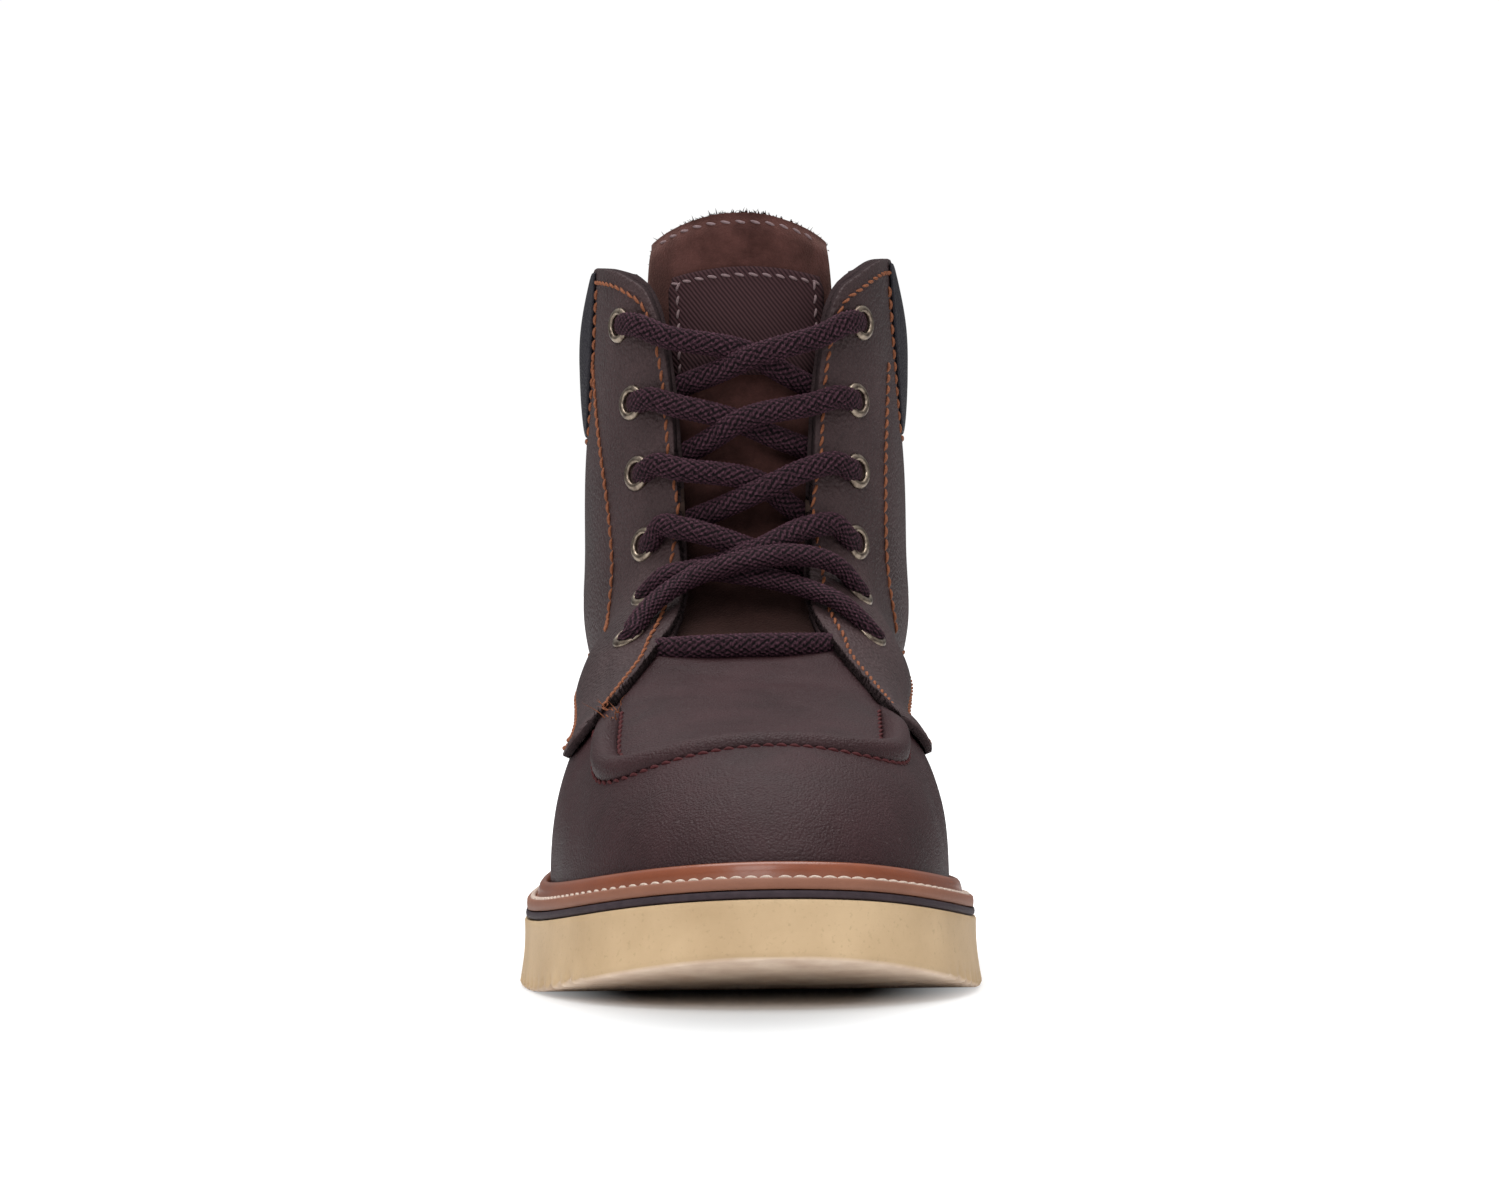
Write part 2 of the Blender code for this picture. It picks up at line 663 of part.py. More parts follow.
def build_collar_pad():
    """Padded band round the back of the collar, fullest along its middle."""
    columns, rows = 12, 6
    halves = []
    for side in (-1.0, 1.0):
        turn = np.linspace(0.0, 1.0, columns)[None]
        high = np.linspace(0.0, 1.0, rows)[:, None]
        top_of = lambda t: through(t, COLLAR["turn"], COLLAR["height"]) - 0.0012
        start = through(high * 0.044 + PAD_FOOT, PAD_FRONT["height"][::-1], PAD_FRONT["turn"][::-1])
        turns = start + (180.0 - start) * turn
        heights = PAD_FOOT + 0.003 * (1 - turn) + (top_of(turns) - PAD_FOOT - 0.003 * (1 - turn)) * high
        plan = np.stack([turns, heights], axis=2)
        seat = QUARTER + 2.0 * SEAT
        swell = np.sqrt(np.sin(np.pi * np.clip(high, 0.06, 0.94))) * ease(turn, -0.05, 0.12)
        halves.append(skin_patch(plan, side, seat, seat + 0.0006 + PAD * swell))
    under = np.concatenate([halves[0][0], halves[1][0][:, -2::-1]], axis=1)
    over = np.concatenate([halves[0][1], halves[1][1][:, -2::-1]], axis=1)
    add("collar_pad", slab_mesh("collar_pad", under, over), "collar_leather")


def build_toe_roll():
    """Rolled seam round the toe: a bead swept along a squared U on top of the vamp."""
    angle = np.radians(np.linspace(-90.0, 90.0, 21))
    power = 2.0 / ROLL_POWER
    x = ROLL_CENTRE + ROLL_HALF * np.sign(angle) * np.abs(np.sin(angle)) ** power
    along = ROLL_CORNER - (ROLL_CORNER - ROLL_FRONT) * np.abs(np.cos(angle)) ** power
    arm = np.linspace(ROLL_BACK, ROLL_CORNER, 5)[:-1]
    x = np.concatenate([np.full(4, x[0]), x, np.full(4, x[-1])])
    along = np.concatenate([arm, along, arm[::-1]])
    path = curve_through(from_above(x, along), 31)
    normal = outward(path)
    tangent = np.gradient(path, axis=0)
    across = np.cross(normal, tangent)
    across /= np.linalg.norm(across, axis=1, keepdims=True)
    arc = np.radians(np.linspace(0.0, 180.0, 7))
    half, high = 0.0025, 0.0034
    bead = [path + across * half * np.cos(a) + normal * (GAP * 1.4 + high * np.sin(a))[..., None] for a in arc]
    rows = np.stack(bead, axis=1)
    count, sides = rows.shape[:2]
    ends = [tuple(range(sides)), tuple(range((count - 1) * sides, count * sides))]
    faces = grid_faces(count, sides, wrap=True) + ends
    add("toe_seam_roll", skin_mesh("toe_seam_roll", rows.reshape(-1, 3), faces), "upper_leather")


def build_tongue():
    """Curved pad behind the facings, seated under the vamp's edge and standing above the collar."""
    rows, columns = 14, 9
    form = table(
        "height half depth",
        (0.0755, 0.0200, 0.0031),
        (0.0815, 0.0230, 0.0032),
        (0.0900, 0.0250, 0.0052),
        (0.1000, 0.0255, 0.0058),
        (0.1500, 0.0260, 0.0058),
        (0.1900, 0.0250, 0.0058),
        (0.1965, 0.0235, 0.0058),
        (0.2000, 0.0195, 0.0058),
    )
    height = np.concatenate([np.linspace(0.0755, 0.1900, rows - 2), [0.1965, 0.2000]])
    half = through(height, form["height"], form["half"])
    depth = through(height, form["height"], form["depth"])
    share = np.linspace(-1.0, 1.0, columns)
    lean = -0.0016 * ease(height, 0.120, 0.190)
    x = (half[:, None] * share + lean[:, None]).ravel()
    level = np.repeat(-depth, columns)
    over = np.zeros((rows * columns, 3))
    for step in np.unique(level):
        pick = level == step
        over[pick] = from_front(x[pick], np.repeat(height, columns)[pick], step)
    under = over - outward(over) * TONGUE
    shape = (rows, columns, 3)
    add("tongue", slab_mesh("tongue", under.reshape(shape), over.reshape(shape)), "tongue_suede")


# Eyelets, their holes and the lace

def frame_on(point, normal):
    """Matrix that stands +Z on a skin's normal at a point of (x, along, height)."""
    turn = Vector(normal).to_track_quat("Z", "Y").to_matrix().to_4x4()
    return Matrix.Translation(Vector(point) - Vector((0.0, LENGTH / 2.0, 0.0))) @ turn


def eyelet_seats(side):
    """Places and normals of one side's eyelets on the quarter's face, collar first."""
    column = EYELETS["lateral"] if side < 0 else EYELETS["medial"]
    seat = from_front(side * column, EYELETS["height"], SEAT + QUARTER)
    return seat, outward(seat)


def eyelet_mesh():
    """Turned grommet: rim above the leather and barrel through it."""
    rim, crest = 0.0007, 0.0015
    profile = [
        (EYELET_BARREL + 0.0006, crest),
        (EYELET_RIM - 0.0004, crest - 0.0002),
        (EYELET_RIM, rim),
        (EYELET_BARREL, rim),
        (EYELET_BARREL, -QUARTER - WALL + 0.0004),
        (EYELET_BORE, -QUARTER - WALL + 0.0004),
        (EYELET_BORE, crest - 0.0006),
    ]
    mesh = bpy.data.meshes.new("eyelet")
    loop = [(i, (i + 1) % len(profile)) for i in range(len(profile))]
    mesh.from_pydata([(radius, 0.0, height) for radius, height in profile], loop, [])
    return mesh


def build_eyelets(upper, quarters):
    """Grommets on both facings, with a hole through quarter and upper under each."""
    for side, side_name in ((-1.0, "lateral"), (1.0, "medial")):
        tool_shape = bmesh.new()
        for number, (place, normal) in enumerate(zip(*eyelet_seats(side)), start=1):
            stand = frame_on(place, normal)
            mesh = eyelet_mesh()
            eyelet = add(f"eyelet_{side_name}_{number}", mesh, "eyelet_brass")
            eyelet.matrix_world = stand
            turned = eyelet.modifiers.new("turned", "SCREW")
            turned.steps = turned.render_steps = EYELET_SIDES
            turned.use_merge_vertices = True
            turned.merge_threshold = 0.00001
            bmesh.ops.create_cone(
                tool_shape, cap_ends=True, segments=EYELET_SIDES, radius1=EYELET_HOLE, radius2=EYELET_HOLE, depth=0.014,
                matrix=stand,
            )
        tool_mesh = bpy.data.meshes.new(f"eyelet_holes_{side_name}")
        tool_shape.to_mesh(tool_mesh)
        tool_shape.free()
        tool = add(f"eyelet_holes_{side_name}", tool_mesh, None, cutters)
        cut(upper, tool)
        cut(quarters[side], tool)


def strand_mesh(name, points):
    """Round cord along a smooth curve, as a closed mesh."""
    curve = bpy.data.curves.new(name, "CURVE")
    curve.dimensions = "3D"
    curve.bevel_depth = LACE / 2.0
    curve.bevel_resolution = 1
    curve.use_fill_caps = True
    spline = curve.splines.new("POLY")
    route = curve_through(points, 8) - np.array([0.0, LENGTH / 2.0, 0.0])
    spline.points.add(len(route) - 1)
    spline.points.foreach_set("co", np.column_stack([route, np.ones(len(route))]).ravel())
    guide = bpy.data.objects.new(name, curve)
    cutters.objects.link(guide)
    depsgraph = bpy.context.evaluated_depsgraph_get()
    mesh = bpy.data.meshes.new_from_object(guide.evaluated_get(depsgraph))
    bpy.data.objects.remove(guide)
    shape = bmesh.new()
    shape.from_mesh(mesh)
    bmesh.ops.remove_doubles(shape, verts=shape.verts, dist=0.00001)
    bmesh.ops.recalc_face_normals(shape, faces=shape.faces)
    shape.to_mesh(mesh)
    shape.free()
    return mesh


def over_skin(rows):
    """Cord points from rows of (x, height, lift above the last)."""
    rows = np.array(rows)
    base = from_front(rows[:, 0], rows[:, 1])
    return base + outward(base) * rows[:, 2:3]


def build_lace():
    """Crossings between the facings, each two cords joined, and the bar at the foot of the throat."""
    high = SEAT + QUARTER + 0.0013 + LACE / 2.0 + 0.0008
    dip = 0.0002
    heights = EYELETS["height"]
    edge_of = lambda height: np.interp(height, FACING["height"], FACING["half_gap"])
    for number in range(5):
        top, foot = heights[number], heights[number + 1]
        middle = 0.42 * top + 0.58 * foot
        strands = []
        for side in (-1.0, 1.0):
            near = EYELETS["lateral" if side < 0 else "medial"][number]
            far = EYELETS["medial" if side < 0 else "lateral"][number + 1]
            rim = edge_of(top)
            rows = [
                (side * (near - 0.001), top, high + 0.0004),
                (side * (rim + 0.002), top - 0.1 * (top - foot), high),
                (0.0, middle, 0.0018),
            ]
            low = 0.22 * top + 0.78 * foot
            if number < 4:
                rows.append((-side * (edge_of(low) - 0.0036), low, dip))
            else:
                rows = [(x, height - 0.0012, lift + 0.0008) for x, height, lift in rows]
                rows.append((-side * (edge_of(low) + 0.0045), low, high + 0.0004))
                rows.append((-side * (far - 0.001), foot + 0.0005, high + 0.0010))
            strands.append(strand_mesh(f"lace_strand_{number}", over_skin(rows)))
        name = f"lace_cross_{number + 1}"
        crossing = add(name, strands[0], "lace_cord")
        other = add(f"{name}_other", strands[1], None, cutters)
        cut(crossing, other, "UNION")
    bar, bar_dip = 0.0865, -0.0009
    rows = [(share * (edge_of(bar) - 0.0038), bar, bar_dip) for share in (-1.0, -0.4, 0.4, 1.0)]
    add("lace_bar", strand_mesh("lace_bar", over_skin(rows)), "lace_cord")


build_outsole()
build_midsole()
build_welt()
build_insole()
boot_upper = build_upper()
boot_quarters = {-1.0: build_quarter("quarter_lateral", -1.0), 1.0: build_quarter("quarter_medial", 1.0)}
build_collar_pad()
build_toe_roll()
build_tongue()
build_eyelets(boot_upper, boot_quarters)
build_lace()
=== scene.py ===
"""Work boot for the right foot, seen from the front.

The leather pieces are drawn on the boot's last, one function of space that the CAD solids are drawn on too.
Each piece is a grid of points on that last, or a profile carried along a path on it.
"""

import bmesh
import bpy
import numpy as np
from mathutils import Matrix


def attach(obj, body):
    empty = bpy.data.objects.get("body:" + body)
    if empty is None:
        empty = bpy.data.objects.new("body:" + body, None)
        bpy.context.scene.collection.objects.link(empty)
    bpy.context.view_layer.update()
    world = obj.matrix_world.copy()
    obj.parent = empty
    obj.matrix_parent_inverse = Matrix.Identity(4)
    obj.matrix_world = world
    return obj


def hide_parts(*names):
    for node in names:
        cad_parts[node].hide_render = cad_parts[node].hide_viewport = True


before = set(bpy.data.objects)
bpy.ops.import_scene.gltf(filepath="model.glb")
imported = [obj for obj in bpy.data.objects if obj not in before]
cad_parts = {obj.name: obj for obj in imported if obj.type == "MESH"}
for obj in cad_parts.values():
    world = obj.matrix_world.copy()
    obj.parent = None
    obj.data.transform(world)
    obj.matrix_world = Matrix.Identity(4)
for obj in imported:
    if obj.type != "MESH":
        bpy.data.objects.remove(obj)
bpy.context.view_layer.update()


# Camera, floor and light
# The boot stands on a white table that runs out to a white wall, seen level from the toe with a long lens.
# Two soft boxes and a bounce from the right light it.

SENSOR, LENS = 36.0, 142.9
EYE = (0.0011, -1.552, 0.100)
LOOK_UP, ROLL = 89.856, 0.60
camera_data = bpy.data.cameras.new("camera")
camera_data.sensor_width = SENSOR
camera_data.lens = LENS
camera_data.clip_end = 200.0
camera = bpy.data.objects.new("camera", camera_data)
camera.location = EYE
camera.rotation_euler = np.radians((LOOK_UP, ROLL, 0.0))
bpy.context.scene.collection.objects.link(camera)
bpy.context.scene.camera = camera
bpy.context.scene.view_settings.view_transform = "Standard"


def add_node(tree, kind, **settings):
    """Shader node of a kind, with its settings."""
    node = tree.nodes.new(kind)
    for key, value in settings.items():
        setattr(node, key, value)
    return node


def set_inputs(node, **values):
    """Constants or links on a node's sockets, by socket name with spaces as underscores."""
    for key, value in values.items():
        socket = node.inputs[key.replace("_", " ")]
        if isinstance(value, bpy.types.NodeSocket):
            node.id_data.links.new(value, socket)
        else:
            socket.default_value = value
    return node


def link_mesh(name, points, quads, materials, wall_from=None):
    """Smooth object from an array of points and an array of quads.

    Quads from number wall_from on take the last material.
    """
    mesh = bpy.data.meshes.new(name)
    points = np.asarray(points, np.float32).reshape(-1, 3)
    quads = np.asarray(quads, np.int32).reshape(-1, 4)
    mesh.vertices.add(len(points))
    mesh.vertices.foreach_set("co", points.ravel())
    mesh.loops.add(quads.size)
    mesh.loops.foreach_set("vertex_index", quads.ravel())
    mesh.polygons.add(len(quads))
    mesh.polygons.foreach_set("loop_start", np.arange(0, quads.size, 4, dtype=np.int32))
    for material in materials:
        mesh.materials.append(material)
    if wall_from is not None:
        index = np.where(np.arange(len(quads)) < wall_from, 0, len(materials) - 1)
        mesh.polygons.foreach_set("material_index", index.astype(np.int32))
    mesh.update(calc_edges=True)
    mesh.shade_smooth()
    thing = bpy.data.objects.new(name, mesh)
    bpy.context.scene.collection.objects.link(thing)
    return thing


def start_material(name, **constants):
    """Principled material, its tree, its shader and a socket of Object coordinates."""
    material = bpy.data.materials.new(name)
    material.use_nodes = True
    tree = material.node_tree
    shader = set_inputs(tree.nodes["Principled BSDF"], **constants)
    return material, tree, shader, add_node(tree, "ShaderNodeTexCoord").outputs["Object"]


MIX_FACTOR, MIX_DARK, MIX_LIGHT, MIX_RESULT = 0, 6, 7, 2


def mix_colour(tree, factor, dark, light):
    """Colour between two, each a tuple or a socket, by a factor socket."""
    mix = add_node(tree, "ShaderNodeMix", data_type="RGBA")
    tree.links.new(factor, mix.inputs[MIX_FACTOR])
    for socket, value in ((MIX_DARK, dark), (MIX_LIGHT, light)):
        if isinstance(value, tuple):
            mix.inputs[socket].default_value = (*value, 1.0)
        else:
            tree.links.new(value, mix.inputs[socket])
    return mix.outputs[MIX_RESULT]


# Painted shadow: the camera sees the paper at PAPER_SEEN, darker than the PAPER_LIT that light bounces from.
# Its white glow grows only between FADE_START and FADE_END from the boot, and FADE_NARROW makes it reach
# further in front and behind than to the sides.
FADE_START, FADE_END, FADE_NARROW = 0.15, 0.345, 4.2
PAPER_LIT, PAPER_SEEN = (0.86, 0.86, 0.86), (0.50, 0.50, 0.50)
WHITE = (1.0, 1.0, 1.0, 1.0)


def white_table():
    """White paper that takes the boot's shadow; the camera sees it darker, fading to full white away from the
    boot, so a painted shadow lies round the boot.
    """
    material, tree, shader, place = start_material("white_table", Roughness=0.9, Specular_IOR_Level=0.05)
    narrow = add_node(tree, "ShaderNodeVectorMath", operation="MULTIPLY")
    narrow.inputs[1].default_value = (FADE_NARROW, 1.0, 1.0)
    tree.links.new(place, narrow.inputs[0])
    away = add_node(tree, "ShaderNodeVectorMath", operation="LENGTH")
    tree.links.new(narrow.outputs["Vector"], away.inputs[0])
    far = add_node(tree, "ShaderNodeMapRange", interpolation_type="SMOOTHSTEP")
    set_inputs(far, Value=away.outputs["Value"], From_Min=FADE_START, From_Max=FADE_END)
    seen = add_node(tree, "ShaderNodeLightPath").outputs["Is Camera Ray"]
    shown = add_node(tree, "ShaderNodeMath", operation="MULTIPLY")
    tree.links.new(far.outputs["Result"], shown.inputs[0])
    tree.links.new(seen, shown.inputs[1])
    # Painted shade: camera rays see darker paper than the light does
    paper = mix_colour(tree, seen, PAPER_LIT, PAPER_SEEN)
    set_inputs(shader, Base_Color=paper, Emission_Color=WHITE, Emission_Strength=shown.outputs["Value"])
    return material


HALF_TABLE = 60.0
corners = np.array([(-1, -1, 0), (1, -1, 0), (1, 1, 0), (-1, 1, 0)]) * HALF_TABLE
table_top = link_mesh("table_top", corners, [(0, 1, 2, 3)], [white_table()])

world = bpy.data.worlds.new("white_room")
world.use_nodes = True
bpy.context.scene.world = world
room = world.node_tree
upward = add_node(room, "ShaderNodeSeparateXYZ")
set_inputs(upward, Vector=add_node(room, "ShaderNodeTexCoord").outputs["Generated"])
brighter = add_node(room, "ShaderNodeMapRange")
set_inputs(brighter, Value=upward.outputs["Z"], To_Min=0.10, To_Max=0.85)
glow = set_inputs(room.nodes["Background"], Color=WHITE, Strength=brighter.outputs["Result"])
wall = set_inputs(add_node(room, "ShaderNodeBackground"), Color=WHITE, Strength=1.02)
seen = add_node(room, "ShaderNodeLightPath").outputs["Is Camera Ray"]
either = set_inputs(add_node(room, "ShaderNodeMixShader"), Fac=seen)
room.links.new(glow.outputs["Background"], either.inputs[1])
room.links.new(wall.outputs["Background"], either.inputs[2])
set_inputs(room.nodes["World Output"], Surface=either.outputs["Shader"])

for name, size, power, place, turn in (
    ("top_box", 1.2, 17.0, (-0.10, 0.12, 1.55), (-4.0, 0.0, 0.0)),
    ("front_box", 1.0, 13.5, (-0.45, -1.65, 1.30), (54.0, 0.0, -15.0)),
    ("right_bounce", 0.8, 1.2, (1.10, -1.35, 0.70), (70.0, 0.0, 40.0)),
):
    light = bpy.data.lights.new(name, "AREA")
    light.size = size
    light.energy = power
    lamp = bpy.data.objects.new(name, light)
    lamp.location = place
    lamp.rotation_euler = np.radians(turn)
    bpy.context.scene.collection.objects.link(lamp)


# Outsole
# A cream rubber wedge, moulded in one piece, flat under ball and heel with toe spring in front.
# Its side is buffed smooth, and small notches cut the edge of the tread.


def table(columns, *rows):
    """Rows of numbers under named columns."""
    return dict(zip(columns.split(), np.array(rows, float).T))


def through(at, rows_at, rows_value):
    """Smooth curve through table rows: cubic pieces whose slopes come from the neighbouring rows."""
    at = np.clip(at, rows_at[0], rows_at[-1])
    slope = np.gradient(rows_value, rows_at)
    cell = np.clip(np.searchsorted(rows_at, at) - 1, 0, len(rows_at) - 2)
    span = rows_at[cell + 1] - rows_at[cell]
    t = (at - rows_at[cell]) / span
    start, end = rows_value[cell], rows_value[cell + 1]
    rise = end - start
    left, right = slope[cell] * span, slope[cell + 1] * span
    return start + t * (left + t * (3 * rise - 2 * left - right + t * (left + right - 2 * rise)))


def column_at(rows, at, column):
    """Smooth curve through one column of a table, read at values of its first column."""
    return through(at, next(iter(rows.values())), rows[column])


def unit(vectors):
    """Vectors scaled to a length of one."""
    return vectors / np.linalg.norm(vectors, axis=-1, keepdims=True)


def run_along(path):
    """Length run up to each point of a polyline, or of each column of a grid."""
    steps = np.linalg.norm(np.diff(path, axis=0), axis=-1)
    return np.concatenate([np.zeros((1, *steps.shape[1:])), np.cumsum(steps, axis=0)])


def resample(path, shares):
    """Points at shares of a polyline's length."""
    run = run_along(path)
    return np.stack([np.interp(shares * run[-1], run, path[:, k]) for k in range(path.shape[1])], axis=1)


def ease(value, start, end):
    """Smooth step from 0 at start to 1 at end."""
    t = np.clip((value - start) / (end - start), 0.0, 1.0)
    return t * t * (3.0 - 2.0 * t)


LENGTH = 0.304
GAP = 0.0003
MIDSOLE = 0.0028
SOLE_FLARE = 0.0013
TOE_SPRING, TOE_BREAK = 0.0118, 0.078
HEEL_BEVEL, HEEL_BREAK = 0.0020, 0.288
SOLE_PLAN = table(
    "along lateral medial",
    (0.000, -0.0060, 0.0060),
    (0.005, 0.0140, 0.0270),
    (0.012, 0.0250, 0.0360),
    (0.025, 0.0370, 0.0455),
    (0.045, 0.0465, 0.0525),
    (0.070, 0.0530, 0.0558),
    (0.095, 0.0563, 0.0563),
    (0.120, 0.0560, 0.0520),
    (0.150, 0.0515, 0.0435),
    (0.180, 0.0460, 0.0380),
    (0.210, 0.0420, 0.0370),
    (0.240, 0.0405, 0.0385),
    (0.265, 0.0385, 0.0380),
    (0.285, 0.0318, 0.0318),
    (0.297, 0.0202, 0.0202),
    (0.304, 0.0000, 0.0000),
)
SOLE_TOP = table(
    "along top",
    (0.000, 0.0252),
    (0.030, 0.0203),
    (0.060, 0.0173),
    (0.095, 0.0160),
    (0.130, 0.0172),
    (0.170, 0.0210),
    (0.210, 0.0260),
    (0.250, 0.0305),
    (0.304, 0.0335),
)
PLAN_FINE = 260
SIDE_STEPS = 420
CROSS_ROWS = 25


def sole_loop(inset):
    """Plan loop of (x, along), toe to heel by the lateral side and back, moved in by inset(along).

    The rows are joined as a curve in the angle whose cosine runs from toe to heel, so both ends are round.
    """
    angle = np.linspace(0.0, np.pi, PLAN_FINE + 1)
    along = LENGTH * (1.0 - np.cos(angle)) / 2.0
    row_angle = np.arccos(np.clip(1.0 - 2.0 * SOLE_PLAN["along"] / LENGTH, -1.0, 1.0))
    lateral = np.stack([-through(angle, row_angle, SOLE_PLAN["lateral"]), along], axis=1)
    medial = np.stack([through(angle, row_angle, SOLE_PLAN["medial"]), along], axis=1)
    loop = np.concatenate([lateral[:-1], medial[:0:-1]])
    tangent = unit(np.roll(loop, -1, axis=0) - np.roll(loop, 1, axis=0))
    inward = np.stack([tangent[:, 1], -tangent[:, 0]], axis=1)
    return loop + inward * np.broadcast_to(inset(loop[:, 1]), len(loop))[:, None]


def sole_ring(inset, shares):
    """The plan loop at shares of each half: toe tip first, then lateral, heel and medial, in pairs."""
    loop = sole_loop(inset)
    lateral = resample(loop[: PLAN_FINE + 1], shares)
    medial = resample(np.concatenate([loop[PLAN_FINE:], loop[:1]]), 1.0 - shares[::-1])
    return np.concatenate([lateral, medial[1:-1]])


def ring_at(inset, level):
    """Dense plan ring moved in by inset(along), at level(along)."""
    plan = sole_ring(inset, np.linspace(0.0, 1.0, SIDE_STEPS + 1))
    return np.column_stack([plan, level(np.clip(plan[:, 1], 0.0, LENGTH))])


def sole_bottom(along):
    """Underside: flat under ball and heel, with toe spring in front and a small bevel behind."""
    toe = np.clip((TOE_BREAK - along) / TOE_BREAK, 0.0, 1.2)
    heel = np.clip((along - HEEL_BREAK) / (LENGTH - HEEL_BREAK), 0.0, 1.2)
    return TOE_SPRING * toe**1.8 + HEEL_BEVEL * heel**1.5


def sole_top(along):
    """Upper face of the outsole."""
    return column_at(SOLE_TOP, along, "top")


def feather(along):
    """Level where the upper meets the midsole."""
    return sole_top(along) + MIDSOLE + 2.0 * GAP


def to_world(points):
    """Points of (x, along, height) moved so that the boot's middle is the origin."""
    return np.asarray(points) - np.array([0.0, LENGTH / 2.0, 0.0])


def grid_quads(rows, columns, wrap=False, wrap_rows=False, first=0):
    """Quads of a grid of points, row after row."""
    r = np.arange(rows if wrap_rows else rows - 1)[:, None]
    c = np.arange(columns if wrap else columns - 1)[None]
    down, right = (r + 1) % rows, (c + 1) % columns
    corners = (r * columns + c, r * columns + right, down * columns + right, down * columns + c)
    return first + np.stack(np.broadcast_arrays(*corners), axis=-1).reshape(-1, 4)


def stack_of_rings(name, rings, materials, tread=None):
    """Closed solid from plan rings, bottom to top: walls between them and rows across both ends.

    The rows across are straight, except that tread(points) gives the underside its own height.
    """
    count = len(rings[0])
    half = count // 2
    across = np.linspace(0.0, 1.0, CROSS_ROWS)[:, None, None]
    points = [np.concatenate(rings)]
    quads = [grid_quads(len(rings), count, wrap=True)]
    for ring, flip in ((rings[0], False), (rings[-1], True)):
        lateral = ring[: half + 1]
        medial = np.concatenate([ring[:1], ring[:half - 1:-1]])
        sheet = lateral[None] * (1.0 - across) + medial[None] * across
        if tread and not flip:
            sheet[1:-1, :, 2] = tread(sheet[1:-1], across[1:-1, :, 0])
        faces = grid_quads(CROSS_ROWS, half + 1, first=sum(len(p) for p in points))
        points.append(sheet.reshape(-1, 3))
        quads.append(faces[:, ::-1] if flip else faces)
    return link_mesh(name, to_world(np.concatenate(points)), np.concatenate(quads), materials)


SAME_POINT = 0.00001


def weld(thing):
    """Merge points that lie on each other and turn all faces outwards."""
    shape = bmesh.new()
    shape.from_mesh(thing.data)
    bmesh.ops.remove_doubles(shape, verts=shape.verts, dist=SAME_POINT)
    bmesh.ops.recalc_face_normals(shape, faces=shape.faces)
    shape.to_mesh(thing.data)
    shape.free()
    return thing


def put_on(piece, slot_name, *nodes):
    """The piece rides on the boot and stands for the nodes, whose CAD parts it hides; slot_name is not used.
    """
    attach(piece, "root")
    if nodes:
        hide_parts(*nodes)


def spread_range(tree, value, low, high, from_low=0.0, from_high=1.0):
    """A value socket carried from one range to another."""
    step = add_node(tree, "ShaderNodeMapRange")
    set_inputs(step, Value=value, From_Min=from_low, From_Max=from_high, To_Min=low, To_Max=high)
    return step.outputs["Result"]


def noise_at(tree, place, scale, detail=3.0, roughness=0.55):
    """Noise value at a place socket."""
    noise = add_node(tree, "ShaderNodeTexNoise")
    set_inputs(noise, Vector=place, Scale=scale, Detail=detail, Roughness=roughness)
    return noise.outputs["Fac"]


def bump_from(tree, height, strength, distance, **under):
    """Normal from a height socket, over another Normal if given."""
    bump = add_node(tree, "ShaderNodeBump")
    set_inputs(bump, Height=height, Strength=strength, Distance=distance, **under)
    return bump.outputs["Normal"]


def cream_rubber():
    """Buffed cream rubber: soft clouds, fine specks and a mottled, scuffed underside, painted paler as well
    to stand in for light bounced up from the floor.
    """
    material, tree, shader, place = start_material("cream_rubber", Roughness=0.6, Specular_IOR_Level=0.35)
    cloud = noise_at(tree, place, 38.0, 4.0)
    clouded = spread_range(tree, cloud, 0.0, 1.0, 0.35, 0.68)
    base = mix_colour(tree, clouded, (0.53, 0.370, 0.210), (0.65, 0.470, 0.280))
    speck = spread_range(tree, noise_at(tree, place, 900.0, 2.0), 0.0, 0.35, 0.60, 0.75)
    spotted = mix_colour(tree, speck, base, (0.36, 0.24, 0.13))
    facing = add_node(tree, "ShaderNodeSeparateXYZ")
    set_inputs(facing, Vector=add_node(tree, "ShaderNodeNewGeometry").outputs["Normal"])
    # Painted light on faces that look down: paler colour for bounce light from the floor, over real mottled
    # scuffs
    under = spread_range(tree, facing.outputs["Z"], 1.0, 0.0, -0.9, -0.35)
    mottle = spread_range(tree, noise_at(tree, place, 110.0, 5.0), 0.0, 1.0, 0.20, 0.72)
    underside_scuffs_and_painted_light = mix_colour(tree, mottle, (0.62, 0.45, 0.34), (0.95, 0.79, 0.64))
    fine = noise_at(tree, place, 620.0, 5.0, 0.7)
    set_inputs(
        shader,
        Base_Color=mix_colour(tree, under, spotted, underside_scuffs_and_painted_light),
        Roughness=spread_range(tree, cloud, 0.50, 0.66),
        Normal=bump_from(tree, fine, 0.35, 0.0004),
    )
    return material


RIB_PITCH, RIB_DEPTH = 0.0065, 0.0013
BALL_RIBS = ((0.026, 0.034), (0.140, 0.146))
HEEL_RIBS = ((0.206, 0.212), (0.280, 0.290))


def ribs(along):
    """Depth of the notches that cut the tread's edge: narrow peaks of a wave along ball and heel."""
    wave = 0.5 - 0.5 * np.cos(2.0 * np.pi * along / RIB_PITCH)
    ball, heel = [ease(along, *start) * (1.0 - ease(along, *end)) for start, end in (BALL_RIBS, HEEL_RIBS)]
    return RIB_DEPTH * wave**3 * (ball + heel)


def tread_level(points, share):
    """Underside: the notches fade to a quarter of their depth away from the edge."""
    along = points[..., 1]
    reach = 2.0 * np.minimum(share, 1.0 - share)
    return sole_bottom(along) + ribs(along) * (1.0 - 0.75 * ease(reach, 0.10, 0.40))


EDGE_ROUND, SIDE_BULGE = 0.0012, 0.0005
SOLE_LIP = 0.0009


